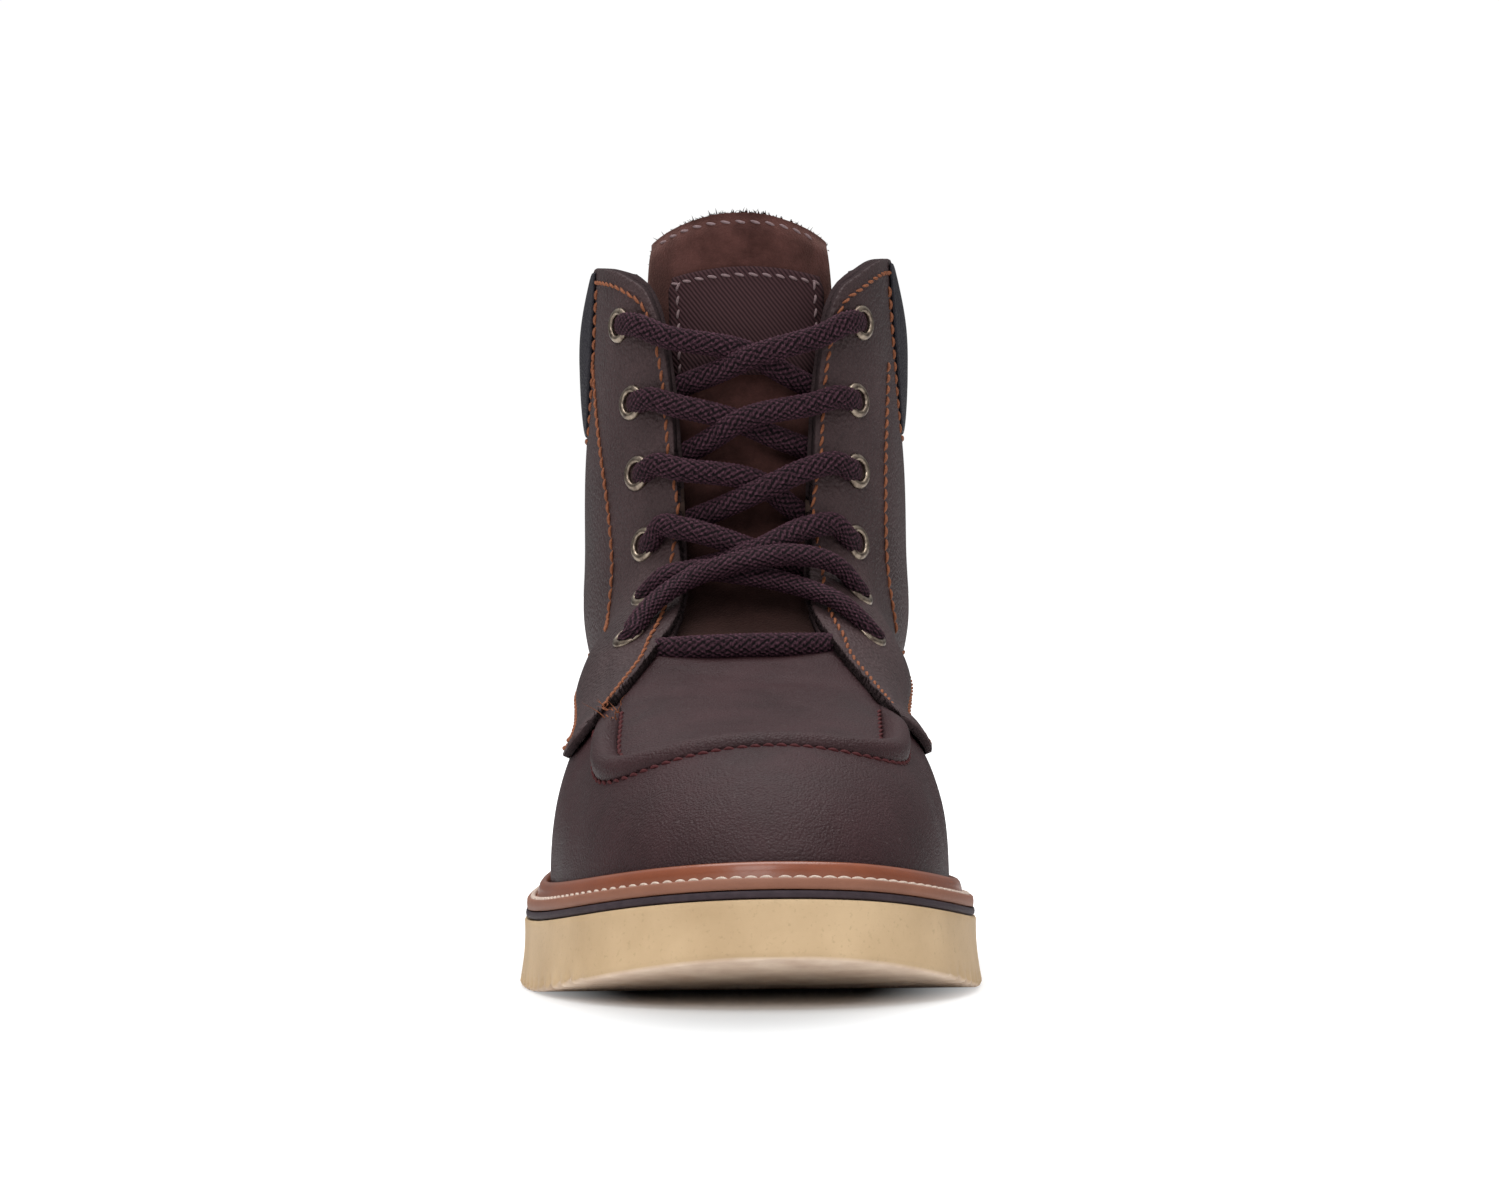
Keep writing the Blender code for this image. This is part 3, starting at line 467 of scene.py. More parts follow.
def side_ring(inset, lift, share):
    """Ring at a share of the side's height, lifted at its foot; the notches run out a sixth of the way up."""

    def plan_inset(along):
        return inset + ribs(along) * (1.0 - np.clip(share * 6.0, 0.0, 1.0))

    def level(along):
        low = sole_bottom(along) + lift + ribs(along) * (lift < EDGE_ROUND)
        return low * (1.0 - share) + (sole_top(along) + SOLE_LIP) * share

    return ring_at(plan_inset, level)


rings = [
    side_ring(-SOLE_FLARE + EDGE_ROUND, 0.0, 0.0),
    side_ring(-SOLE_FLARE + 0.0004, 0.0003, 0.0),
    side_ring(-SOLE_FLARE, EDGE_ROUND, 0.0),
]
for share in np.linspace(0.06, 0.97, 10):
    bulge = SIDE_BULGE * np.sin(np.pi * share)
    rings.append(side_ring(-SOLE_FLARE * (1.0 - share) + bulge, EDGE_ROUND, share))
rings.append(side_ring(0.0003, 0.0, 1.0))
outsole = weld(stack_of_rings("outsole_wedge", rings, [cream_rubber()], tread_level))
put_on(outsole, "outsole_rubber", "outsole")


# Midsole
# A thin layer of dark purple-brown rubber, cemented between outsole and welt and trimmed with them.
# Only its scraped edge shows, as a dark line round the boot.


def two_tone(name, dark, light, noise, bump, **constants):
    """Material whose colour and relief follow one noise.

    The noise is (scale, detail) or (scale, detail, roughness), and the bump is (strength, distance).
    """
    material, tree, shader, place = start_material(name, **constants)
    height = noise_at(tree, place, *noise)
    colour = mix_colour(tree, height, dark, light)
    set_inputs(shader, Base_Color=colour, Normal=bump_from(tree, height, *bump))
    return material


MIDSOLE_SIDE = table(
    "inset rise",
    (0.0010, SOLE_LIP),
    (0.0004, SOLE_LIP + 0.0003),
    (0.0003, 0.0019),
    (0.0004, 0.0026),
    (0.0010, MIDSOLE),
)
dark_rubber = two_tone(
    "dark_rubber", (0.018, 0.011, 0.015), (0.060, 0.040, 0.050), (420.0, 5.0), (0.3, 0.0003),
    Roughness=0.7, Specular_IOR_Level=0.3,
)
rings = [
    ring_at(lambda a, i=inset: i, lambda a, r=rise: sole_top(a) + GAP + r)
    for inset, rise in zip(*MIDSOLE_SIDE.values())
]
midsole = weld(stack_of_rings("midsole_layer", rings, [dark_rubber]))
put_on(midsole, "midsole_rubber", "midsole")


# Welt
# A strip of tan leather round the feather edge: a flat lip stitched to the sole in white thread, and a
# polished bead that stands against the upper.

LIP_FRONT, LIP_BACK = 0.0065, 0.0046
WELT = 0.0027


def lip(along):
    """How far the sole stands out past the upper."""
    return LIP_FRONT + (LIP_BACK - LIP_FRONT) * ease(along, 0.120, 0.210)


def grain_group():
    """Leather grain: pebbles from the distance to cell centres, broken by noise, and a slow tone."""
    group = bpy.data.node_groups.new("leather_grain", "ShaderNodeTree")
    for socket, way, kind in (
        ("Vector", "INPUT", "NodeSocketVector"),
        ("Scale", "INPUT", "NodeSocketFloat"),
        ("Height", "OUTPUT", "NodeSocketFloat"),
        ("Tone", "OUTPUT", "NodeSocketFloat"),
    ):
        group.interface.new_socket(socket, in_out=way, socket_type=kind)
    entry = add_node(group, "NodeGroupInput")
    scaled = set_inputs(
        add_node(group, "ShaderNodeVectorMath", operation="SCALE"), Scale=entry.outputs["Scale"]
    )
    group.links.new(entry.outputs["Vector"], scaled.inputs[0])
    place = scaled.outputs["Vector"]
    cells = add_node(group, "ShaderNodeTexVoronoi", feature="SMOOTH_F1")
    set_inputs(cells, Vector=place, Scale=1.0, Smoothness=0.35)
    both = add_node(group, "ShaderNodeMath", operation="MULTIPLY_ADD")
    both.inputs[1].default_value = -0.7
    group.links.new(cells.outputs["Distance"], both.inputs[0])
    group.links.new(noise_at(group, place, 0.9, 4.0, 0.6), both.inputs[2])
    slow = noise_at(group, place, 0.035, 5.0, 0.6)
    set_inputs(add_node(group, "NodeGroupOutput"), Height=both.outputs["Value"], Tone=slow)
    return group


leather_grain = grain_group()


def grain_of(tree, place, scale):
    """The grain's height and tone sockets at cells per metre."""
    grain = set_inputs(add_node(tree, "ShaderNodeGroup", node_tree=leather_grain), Vector=place, Scale=scale)
    return grain.outputs["Height"], grain.outputs["Tone"]


def tan_leather():
    """Tan leather: polished and redder on the bead, paler and drier on the lip."""
    material, tree, shader, place = start_material(
        "tan_leather", Roughness=0.35, Specular_IOR_Level=0.5, Coat_Roughness=0.18
    )
    height, tone = grain_of(tree, place, 1500.0)
    bead = add_node(tree, "ShaderNodeAttribute", attribute_name="bead").outputs["Fac"]
    polished = mix_colour(tree, tone, (0.150, 0.030, 0.008), (0.30, 0.072, 0.021))
    dry = mix_colour(tree, tone, (0.17, 0.062, 0.034), (0.33, 0.138, 0.082))
    set_inputs(
        shader,
        Base_Color=mix_colour(tree, bead, dry, polished),
        Roughness=spread_range(tree, bead, 0.62, 0.36),
        Coat_Weight=spread_range(tree, bead, 0.0, 0.30),
        Normal=bump_from(tree, height, 0.18, 0.0002),
    )
    return material


def mark_points(thing, name, values):
    """A number on every point of a mesh, for its material to read."""
    mark = thing.data.attributes.new(name, "FLOAT", "POINT")
    mark.data.foreach_set("value", values.astype(np.float32))


WELT_PROFILE = table(
    "share rise bead",
    (0.100, 0.0000, 0.00),
    (0.085, 0.0012, 0.00),
    (0.100, 0.0023, 0.00),
    (0.160, WELT, 0.00),
    (0.300, WELT, 0.00),
    (0.440, 0.0026, 0.10),
    (0.500, 0.0031, 0.55),
    (0.540, 0.0047, 0.90),
    (0.600, 0.0060, 1.00),
    (0.680, 0.0067, 1.00),
    (0.780, 0.0070, 1.00),
    (0.880, 0.0068, 1.00),
    (0.955, 0.0058, 0.80),
    (0.955, 0.0000, 0.50),
)
rings = [
    ring_at(lambda a, s=share: s * lip(a), lambda a, r=rise: feather(a) + r)
    for share, rise in zip(WELT_PROFILE["share"], WELT_PROFILE["rise"])
]
count = len(rings[0])
faces = grid_quads(len(rings), count, wrap=True, wrap_rows=True)
welt = link_mesh("welt_strip", to_world(np.concatenate(rings)), faces, [tan_leather()])
mark_points(welt, "bead", np.repeat(WELT_PROFILE["bead"], count))
weld(welt)
put_on(welt, "welt_leather", "welt")


def along_path(path, pitch):
    """Places at an even pitch on a polyline, the run there, and their shares of its length."""
    length = np.linalg.norm(np.diff(path, axis=0), axis=1).sum()
    shares = (np.arange(int(length / pitch)) + 0.5) * pitch / length
    before = resample(path, np.maximum(shares - 0.3 * pitch / length, 0.0))
    after = resample(path, np.minimum(shares + 0.3 * pitch / length, 1.0))
    return resample(path, shares), unit(after - before), shares


def copies_of(quads, count, each):
    """Quads of a shape for count copies of it, with each points in a copy."""
    return (np.arange(count) * each)[:, None, None] + quads[None]


THREAD_RINGS, THREAD_SIDES = 7, 6
THREAD_LEAN, THREAD_STAND, THREAD_BOW = 0.24, 0.35, 0.90


def sew(name, seams, material):
    """One mesh of all stitches: each is a bead whose ends bow down into the leather.

    A seam is (path, normals, pitch, length, radius). A ring of points round the stitch's run is swelled by
    the root of a parabola along it, and lowered by a parabola. Each stitch leans a little across its seam.
    """
    points = []
    s = np.linspace(-1.0, 1.0, THREAD_RINGS)[:, None]
    turn = np.linspace(0.0, 2.0 * np.pi, THREAD_SIDES, endpoint=False)[None]
    for path, normals, pitch, length, radius in seams:
        centre, run, shares = along_path(path, pitch)
        side = unit(np.cross(run, resample(normals, shares)))
        up = np.cross(side, run)
        swell = radius * np.sqrt(1.02 - s**2)
        place = centre[:, None, None]
        for offset, axis in (
            (0.5 * length * s, run),
            (swell * np.cos(turn) + 0.5 * THREAD_LEAN * length * s, side),
            (swell * np.sin(turn) + THREAD_STAND * radius - THREAD_BOW * radius * s**2, up),
        ):
            place = place + offset[..., None] * axis[:, None, None]
        points.append(place.reshape(-1, THREAD_RINGS * THREAD_SIDES, 3))
    points = np.concatenate(points)
    quads = copies_of(grid_quads(THREAD_RINGS, THREAD_SIDES, wrap=True), len(points), points.shape[1])
    put_on(link_mesh(name, to_world(points.reshape(-1, 3)), quads, [material]), "lace_cord")


def thread(name, dark, light):
    """Waxed thread: two tones of twist."""
    twist, relief = (1400.0, 2.0), (0.4, 0.0002)
    return two_tone(name, dark, light, twist, relief, Roughness=0.75, Specular_IOR_Level=0.3)


# A kind of stitch is its pitch, length and radius
WELT_STITCH = (0.0036, 0.0040, 0.00058)
WELT_SEAM = 0.335
path = ring_at(lambda a: WELT_SEAM * lip(a), lambda a: feather(a) + WELT)
path = np.concatenate([path, path[:1]])
upright = np.tile([0.0, 0.0, 1.0], (len(path), 1))
white_thread = thread("white_thread", (0.36, 0.25, 0.19), (0.80, 0.68, 0.59))
sew("welt_stitches", [(path, upright, *WELT_STITCH)], white_thread)


# Insole
# A board covered with brown cloth, laid on the midsole inside the upper.
# It is set in further at the toe, where the upper's wall leans over it.

WALL = 0.0022
INSOLE = 0.0040
INSOLE_SIDE = table(
    "inset toe_inset rise",
    (0.0000, 0.0000, 0.0000),
    (0.0006, 0.0034, 0.0030),
    (0.0012, 0.0034, INSOLE),
    (0.0060, 0.0034, INSOLE),
)


def woven_cover():
    """Brown insole cloth: a wave of yarn under slow stains."""
    material, tree, shader, place = start_material("insole_cloth", Roughness=0.9, Specular_IOR_Level=0.2)
    stain = noise_at(tree, place, 26.0, 4.0)
    yarn = set_inputs(add_node(tree, "ShaderNodeTexWave"), Vector=place, Scale=420.0, Distortion=0.6)
    set_inputs(
        shader,
        Base_Color=mix_colour(tree, stain, (0.17, 0.105, 0.065), (0.34, 0.23, 0.15)),
        Normal=bump_from(tree, yarn.outputs["Fac"], 0.4, 0.0003),
    )
    return material


rings = [
    ring_at(
        lambda a, i=inset, t=toe: lip(a) + WALL + 2.0 * GAP + i + t * (1.0 - ease(a, 0.010, 0.075)),
        lambda a, r=rise: feather(a) + r,
    )
    for inset, toe, rise in zip(*INSOLE_SIDE.values())
]
insole = weld(stack_of_rings("insole_board", rings, [woven_cover()]))
put_on(insole, "insole_board", "insole")


# Upper
# Dark brown oiled leather, lasted over the foot: vamp in front, counter behind, shaft under the quarters.
# It is closed at the heel, open along the throat, and lined inside with cloth.

LEG_AXIS = 0.235
FOOT = table(
    "along crown lateral medial power lean_lateral lean_medial",
    (0.000, 0.0590, 0.0400, 0.0400, 2.00, 0.000, 0.000),
    (0.030, 0.0600, 0.0400, 0.0400, 2.15, 0.000, 0.000),
    (0.045, 0.0618, 0.0410, 0.0400, 2.40, 0.000, 0.001),
    (0.070, 0.0662, 0.0440, 0.0425, 2.75, 0.000, 0.001),
    (0.095, 0.0720, 0.0460, 0.0425, 2.95, 0.000, 0.001),
    (0.130, 0.0815, 0.0455, 0.0390, 3.10, 0.000, 0.003),
    (0.150, 0.0905, 0.0430, 0.0360, 3.20, 0.001, 0.006),
    (0.170, 0.0990, 0.0400, 0.0340, 3.20, 0.002, 0.009),
    (0.200, 0.1020, 0.0360, 0.0330, 2.80, 0.003, 0.009),
    (0.240, 0.0900, 0.0320, 0.0300, 2.40, 0.003, 0.004),
    (0.304, 0.0500, 0.0310, 0.0310, 2.20, 0.000, 0.000),
)
LEAN_RISE = 0.036
LEG = table(
    "height front back lateral medial",
    (0.030, 0.205, 0.2985, 0.0345, 0.0322),
    (0.045, 0.200, 0.2998, 0.0368, 0.0350),
    (0.060, 0.190, 0.3000, 0.0383, 0.0374),
    (0.085, 0.174, 0.2968, 0.0412, 0.0412),
    (0.098, 0.170, 0.2932, 0.0424, 0.0424),
    (0.111, 0.171, 0.2905, 0.0426, 0.0426),
    (0.130, 0.1745, 0.2888, 0.0424, 0.0424),
    (0.149, 0.1792, 0.2885, 0.0412, 0.0412),
    (0.170, 0.1822, 0.2895, 0.0403, 0.0403),
    (0.186, 0.1832, 0.2915, 0.0396, 0.0396),
    (0.205, 0.1836, 0.2930, 0.0394, 0.0394),
)
LEG_POWER = 2.15
FILLET, FILLET_INSTEP = 0.005, 0.026
FACING = table(
    "height half_gap",
    (0.0590, 0.0418),
    (0.0660, 0.0362),
    (0.0830, 0.0225),
    (0.0905, 0.0178),
    (0.0980, 0.0160),
    (0.1110, 0.0165),
    (0.1300, 0.0172),
    (0.1500, 0.0185),
    (0.1660, 0.0206),
    (0.1735, 0.0224),
    (0.1790, 0.0248),
    (0.1826, 0.0290),
)
THROAT, THROAT_CLEAR = 0.0812, 0.005
THROAT_RIM = table("x rise", (0.0, 0.0042), (0.010, 0.0042), (0.0185, 0.0046))
COLLAR = table(
    "turn height",
    (58, 0.1860),
    (70, 0.1866),
    (80, 0.1864),
    (95, 0.1840),
    (110, 0.1810),
    (145, 0.1780),
    (180, 0.1770),
)
MEDIAL_CORNER = 0.0018
PLAN_STEP = 0.0015
plan_x = np.arange(-0.078, 0.0781, PLAN_STEP)
plan_along = np.arange(-0.033, 0.3381, PLAN_STEP)


def edge_distance():
    """Distance in plan from the feather edge on an even grid, positive inside.

    It is the distance to the nearest short run of the edge. A point is inside if a line to one side crosses
    an odd number of runs.
    """
    edge = sole_ring(lip, np.linspace(0.0, 1.0, 61))
    run = np.roll(edge, -1, axis=0) - edge
    x, along = [axis.ravel() for axis in np.meshgrid(plan_x, plan_along, indexing="ij")]
    here = np.stack([x, along], axis=1)[:, None, :]
    share = np.clip(((here - edge[None]) * run[None]).sum(2) / (run * run).sum(1)[None], 0.0, 1.0)
    away = np.linalg.norm(here - edge[None] - share[..., None] * run[None], axis=2).min(axis=1)
    above = edge[:, 1] > along[:, None]
    crosses = above != np.roll(above, -1, axis=1)
    rise = run[:, 1] + (run[:, 1] == 0)
    meet = edge[None, :, 0] + (along[:, None] - edge[None, :, 1]) / rise * run[:, 0]
    odd = (crosses & (meet > x[:, None])).sum(axis=1) % 2 == 1
    return np.where(odd, away, -away).reshape(len(plan_x), len(plan_along))


plan_inside = edge_distance()


def cubic(t):
    """Weights of four neighbours for a smooth curve through even steps."""
    return 0.5 * np.stack([
        -t + 2 * t**2 - t**3, 2 - 5 * t**2 + 3 * t**3, t + 4 * t**2 - 3 * t**3, -(t**2) + t**3,
    ])


def inside_edge(x, along):
    """Distance from the feather edge, read from the grid with cubic weights both ways."""
    u = np.clip((x - plan_x[0]) / PLAN_STEP, 1.0, len(plan_x) - 2.001)
    v = np.clip((along - plan_along[0]) / PLAN_STEP, 1.0, len(plan_along) - 2.001)
    i, j = u.astype(int), v.astype(int)
    weight_u, weight_v = cubic(u - i), cubic(v - j)
    near = [(a, b) for a in range(4) for b in range(4)]
    return sum(weight_u[a] * weight_v[b] * plan_inside[i + a - 1, j + b - 1] for a, b in near)


def foot_form(p):
    """Squared-off dome over the feather edge: walls rise from it and close at the crown line."""
    along = p[:, 1]
    power = column_at(FOOT, along, "power")
    middle = np.interp(along, SOLE_PLAN["along"], (SOLE_PLAN["medial"] - SOLE_PLAN["lateral"]) / 2.0)
    across = ease(p[:, 0] - middle, -0.008, 0.008)

    def mixed(*sides):
        lateral, medial = [column_at(FOOT, along, side) for side in sides]
        return (1.0 - across) * lateral + across * medial

    base = feather(along)
    lean = mixed("lean_lateral", "lean_medial") * ease(p[:, 2] - base, 0.006, LEAN_RISE)
    side = np.clip(1.0 - (inside_edge(p[:, 0], along) + lean) / mixed("lateral", "medial"), 1e-6, None)
    rise = np.clip((p[:, 2] - base) / (column_at(FOOT, along, "crown") - base), 1e-6, None)
    return (side**power + rise**power) ** (1.0 / power) - 1.0


def leg_form(p):
    """Stack of level ovals, each with its own front, back and half widths."""
    sides = ("front", "back", "lateral", "medial")
    front, back, lateral, medial = [column_at(LEG, p[:, 2], side) for side in sides]
    half = np.where(p[:, 0] < 0, lateral, medial)
    run = p[:, 1] - LEG_AXIS
    across = np.abs(p[:, 0]) / half
    length = np.abs(run) / np.where(run < 0, LEG_AXIS - front, back - LEG_AXIS)
    return (across**LEG_POWER + length**LEG_POWER + 1e-9) ** (1.0 / LEG_POWER) - 1.0


PROBE = 0.00004 * np.eye(3)


def slope_of(field, p):
    """Value, and gradient by small steps."""
    here = field(p)
    return here, np.stack([(field(p + step) - here) / step.max() for step in PROBE], axis=1)


def away_from(form, p):
    """A form's value as a distance: the value over its slope."""
    value, slope = slope_of(form, p)
    return value / np.maximum(np.linalg.norm(slope, axis=1), 1.0)


INSTEP_HALF, INSTEP_BEHIND = 0.030, (0.185, 0.215)


def last(p):
    """Distance outside the last: foot and leg run together, with a wide curve at the front of the instep."""
    foot = away_from(foot_form, p)
    leg = away_from(leg_form, p)
    front = np.exp(-((p[:, 0] / INSTEP_HALF) ** 2)) * (1.0 - ease(p[:, 1], *INSTEP_BEHIND))
    fillet = FILLET + (FILLET_INSTEP - FILLET) * front
    mix = np.clip(0.5 + 0.5 * (leg - foot) / fillet, 0.0, 1.0)
    return leg * (1.0 - mix) + foot * mix - fillet * mix * (1.0 - mix)


def outward(p):
    """Unit normals of the last at points of (x, along, height), in the shape they come."""
    return unit(slope_of(last, p.reshape(-1, 3))[1]).reshape(p.shape)


def cast(origin, direction, near, far, level=0.0):
    """Where rays leave the skin at a level off the last, by halving and a straight share at the end."""
    origin, direction = np.broadcast_arrays(origin, direction)
    low, high = np.full(len(origin), near), np.full(len(origin), far)
    for _ in range(12):
        middle = (low + high) / 2.0
        within = last(origin + middle[:, None] * direction) < level
        low, high = np.where(within, middle, low), np.where(within, high, middle)
    inner = last(origin + low[:, None] * direction) - level
    outer = last(origin + high[:, None] * direction) - level
    share = np.clip(inner / (inner - outer - 1e-12), 0.0, 1.0)
    return origin + (low + share * (high - low))[:, None] * direction


def from_front(x, height, level=0.0):
    """Points of a skin seen from the front at (x, height)."""
    origin = np.stack([x, np.full(len(x), LEG_AXIS), height], axis=1)
    return cast(origin, np.array([0.0, -1.0, 0.0]), 0.0, 0.24, level)


def from_above(x, along, level=0.0):
    """Points of a skin seen from above at (x, along)."""
    origin = np.stack([x, along, feather(along)], axis=1)
    return cast(origin, np.array([0.0, 0.0, 1.0]), 0.0, 0.1, level)


def around(turn, height, side, level=0.0):
    """Points of a skin at a turn about the leg axis, in degrees from the front, on one side."""
    angle = np.radians(turn)
    direction = np.stack([side * np.sin(angle), -np.cos(angle), np.zeros(len(angle))], axis=1)
    origin = np.stack([np.zeros(len(angle)), np.full(len(angle), LEG_AXIS), height], axis=1)
    return cast(origin, direction, 0.0, 0.26, level)


def curve_through(points, count):
    """Smooth curve through a few points, at even steps."""
    points = np.asarray(points, float)
    run = run_along(points)
    fine = np.linspace(0.0, run[-1], 40 * len(points))
    curve = np.stack([through(fine, run, points[:, k]) for k in range(points.shape[1])], axis=1)
    return resample(curve, np.linspace(0.0, 1.0, count))


RIM_SHARES = table("feather rim", (0.0, 0.0), (0.40, 0.08), (0.66, 0.50), (1.0, 1.0))


def collar_height(turn, side):
    """Height of the collar line; the medial corner stands a little higher."""
    corner = MEDIAL_CORNER * (side > 0) * (1.0 - ease(turn, 78.0, 105.0))
    return column_at(COLLAR, turn, "height") + corner


def half_rim(side):
    """Top edge from the throat up the facing and round the collar to the back, on one side."""
    above = FACING["height"] > THROAT + THROAT_CLEAR
    throat = from_front(side * THROAT_RIM["x"], THROAT + THROAT_RIM["rise"])
    facing = from_front(side * FACING["half_gap"][above], FACING["height"][above])
    turn = np.linspace(COLLAR["turn"][0], COLLAR["turn"][-1], 16)
    collar = around(turn, collar_height(turn, side), side)
    return curve_through(np.concatenate([throat, facing, collar]), 400)


FAN_STEP, FAN_DEPTH = 0.003, 0.42


def fan(side, shares):
    """Meridians of one side as (feather points, chords to the rim, centres behind the chords)."""
    loop = sole_loop(lip)
    half = loop[: PLAN_FINE + 1] if side < 0 else np.concatenate([loop[:1], loop[:PLAN_FINE - 1:-1]])
    plan = resample(half, shares)
    low = np.column_stack([plan, feather(plan[:, 1])])
    high = resample(half_rim(side), np.interp(shares, RIM_SHARES["feather"], RIM_SHARES["rim"]))
    after, before = np.minimum(shares + FAN_STEP, 1.0), np.maximum(shares - FAN_STEP, 0.0)
    run = resample(half, after) - resample(half, before)
    out = side * np.stack([run[:, 1], -run[:, 0], np.zeros(len(run))], axis=1)
    chord = high - low
    size = np.linalg.norm(chord, axis=1, keepdims=True)
    out -= (out * chord).sum(axis=1, keepdims=True) / size**2 * chord
    return low, chord, (low + high) / 2.0 - FAN_DEPTH * size * unit(out)


def on_fan(meridians, share):
    """Skin points at shares of each meridian's chord (rows of shares), found by rays from its centre."""
    low, chord, centre = meridians
    toward = low[None] + share[..., None] * chord[None] - centre[None]
    origin = np.broadcast_to(centre[None], toward.shape)
    return cast(origin.reshape(-1, 3), toward.reshape(-1, 3), 0.2, 2.6).reshape(toward.shape)


def even_shares(meridians, start, end, rows, margin=0.0):
    """Chord shares that space points evenly along each meridian, with rows at a margin from its ends."""
    rough = start + (end - start) * np.linspace(0.0, 1.0, 3 * rows)[:, None]
    path = on_fan(meridians, rough)
    run = run_along(path)
    places = np.linspace(0.0, 1.0, rows)[:, None] * run[-1]
    if margin:
        places[1], places[-2] = margin, run[-1] - margin
    columns = [np.interp(places[:, k], run[:, k], rough[:, k]) for k in range(run.shape[1])]
    return np.stack(columns, axis=1)


def spread(count, fine, wrap=False):
    """Matrix that carries values at even steps to finer even steps on smooth curves through them."""
    at = np.linspace(0.0, count, fine, endpoint=False) if wrap else np.linspace(0.0, count - 1.0, fine)
    cell = np.clip(at.astype(int), 0, count - (1 if wrap else 2))
    weights = cubic(at - cell)
    matrix = np.zeros((fine, count))
    row = np.arange(fine)
    for k in range(4):
        near = cell + k - 1
        if wrap:
            np.add.at(matrix, (row, near % count), weights[k])
            continue
        before, after = near < 0, near >= count
        np.add.at(matrix, (row, np.clip(near, 0, count - 1)), weights[k] * np.where(before | after, 2.0, 1.0))
        np.add.at(matrix, (row, np.where(before, 1, count - 2)), -weights[k] * (before | after))
    return matrix


def crease(points, folds):
    """Soft troughs and ridges: a bell across each straight fold, fading past its ends.

    A fold is (start, end, width, depth), in (x, along, height); depth below zero raises a ridge.
    """
    total = np.zeros(points.shape[:-1])
    for start, end, width, depth in folds:
        start, end = np.array(start), np.array(end)
        run = end - start
        share = ((points - start) * run).sum(-1) / (run * run).sum()
        near = start + np.clip(share, 0.0, 1.0)[..., None] * run
        away = np.linalg.norm(points - near, axis=-1)
        total -= depth * np.exp(-((away / width) ** 2))
    return total


def oiled_leather(name, dark, light, roughness, grain, dust, relief):
    """Oiled leather: grain at cells per metre, darker hollows, a slow tone and a few specks of dust."""
    material, tree, shader, place = start_material(name, Roughness=roughness, Specular_IOR_Level=0.22)
    height, tone = grain_of(tree, place, grain)
    slow_tone = mix_colour(tree, spread_range(tree, tone, 0.0, 1.0, 0.30, 0.70), dark, light)
    base = mix_colour(tree, spread_range(tree, height, 0.55, 0.0, -0.30, 0.22), slow_tone, dark)
    speck = spread_range(tree, noise_at(tree, place, 700.0, 1.0), 0.0, dust, 0.70, 0.80)
    soft = bump_from(tree, noise_at(tree, place, 60.0, 3.0), 0.12, 0.0012)
    set_inputs(
        shader,
        Base_Color=mix_colour(tree, speck, base, (0.30, 0.25, 0.24)),
        Roughness=spread_range(tree, tone, roughness - 0.07, roughness + 0.09, 0.25, 0.75),
        Normal=bump_from(tree, height, relief, 0.00060, Normal=soft),
    )
    return material


def lining_cloth():
    """Dark brown lining: a fine knit, worn in patches."""
    material, tree, shader, place = start_material("lining_cloth", Roughness=0.92, Specular_IOR_Level=0.15)
    wear = noise_at(tree, place, 30.0, 4.0)
    set_inputs(
        shader,
        Base_Color=mix_colour(tree, wear, (0.035, 0.020, 0.017), (0.085, 0.053, 0.043)),
        Normal=bump_from(tree, noise_at(tree, place, 950.0, 2.0), 0.6, 0.0004),
    )
    return material


def raw_edge(name, dark, light):
    """Cut edge of leather: rough fibres in two tones."""
    fibre, relief = (1500.0, 4.0, 0.7), (0.9, 0.0006)
    return two_tone(name, dark, light, fibre, relief, Roughness=0.95, Specular_IOR_Level=0.1)


brown_leather = oiled_leather(
    "brown_leather", (0.0265, 0.0098, 0.0112), (0.045, 0.0182, 0.0208),
    roughness=0.50, grain=1600.0, dust=0.10, relief=0.55,
)
cut_edge = raw_edge("cut_edge", (0.014, 0.009, 0.010), (0.070, 0.046, 0.048))
UPPER_ROWS, UPPER_FINE_ROWS, UPPER_FINER = 22, 96, 3
FEATHER_LEAN = 0.35
FACING_SETBACK, SETBACK_ABOVE, SETBACK_AHEAD = 0.0013, 0.0930, 0.200
steps = table("step share", (0, 0.00), (26, 0.40), (46, 0.66), (62, 1.00))
ring_shares = np.interp(np.arange(63.0), steps["step"], steps["share"])
lateral = fan(-1.0, ring_shares)
medial = fan(1.0, ring_shares[-2:0:-1])
meridians = [np.concatenate(pair) for pair in zip(lateral, medial)]
count = len(meridians[0])
skin = on_fan(meridians, even_shares(meridians, np.zeros(count), np.ones(count), UPPER_ROWS))
skin[0], skin[-1] = meridians[0], meridians[0] + meridians[1]
skin[1, :, :2] = skin[0, :, :2] + FEATHER_LEAN * (skin[1, :, :2] - skin[0, :, :2])
dense = np.einsum("ij,jkl->ikl", spread(UPPER_ROWS, UPPER_FINE_ROWS), skin)
dense = np.einsum("ij,kjl->kil", spread(count, UPPER_FINER * count, wrap=True), dense)
SIDE_SWELLS = [
    ((side * 0.0425, 0.158, 0.076), (side * 0.0425, 0.226, 0.089), 0.0120, -0.0014) for side in (-1, 1)
]
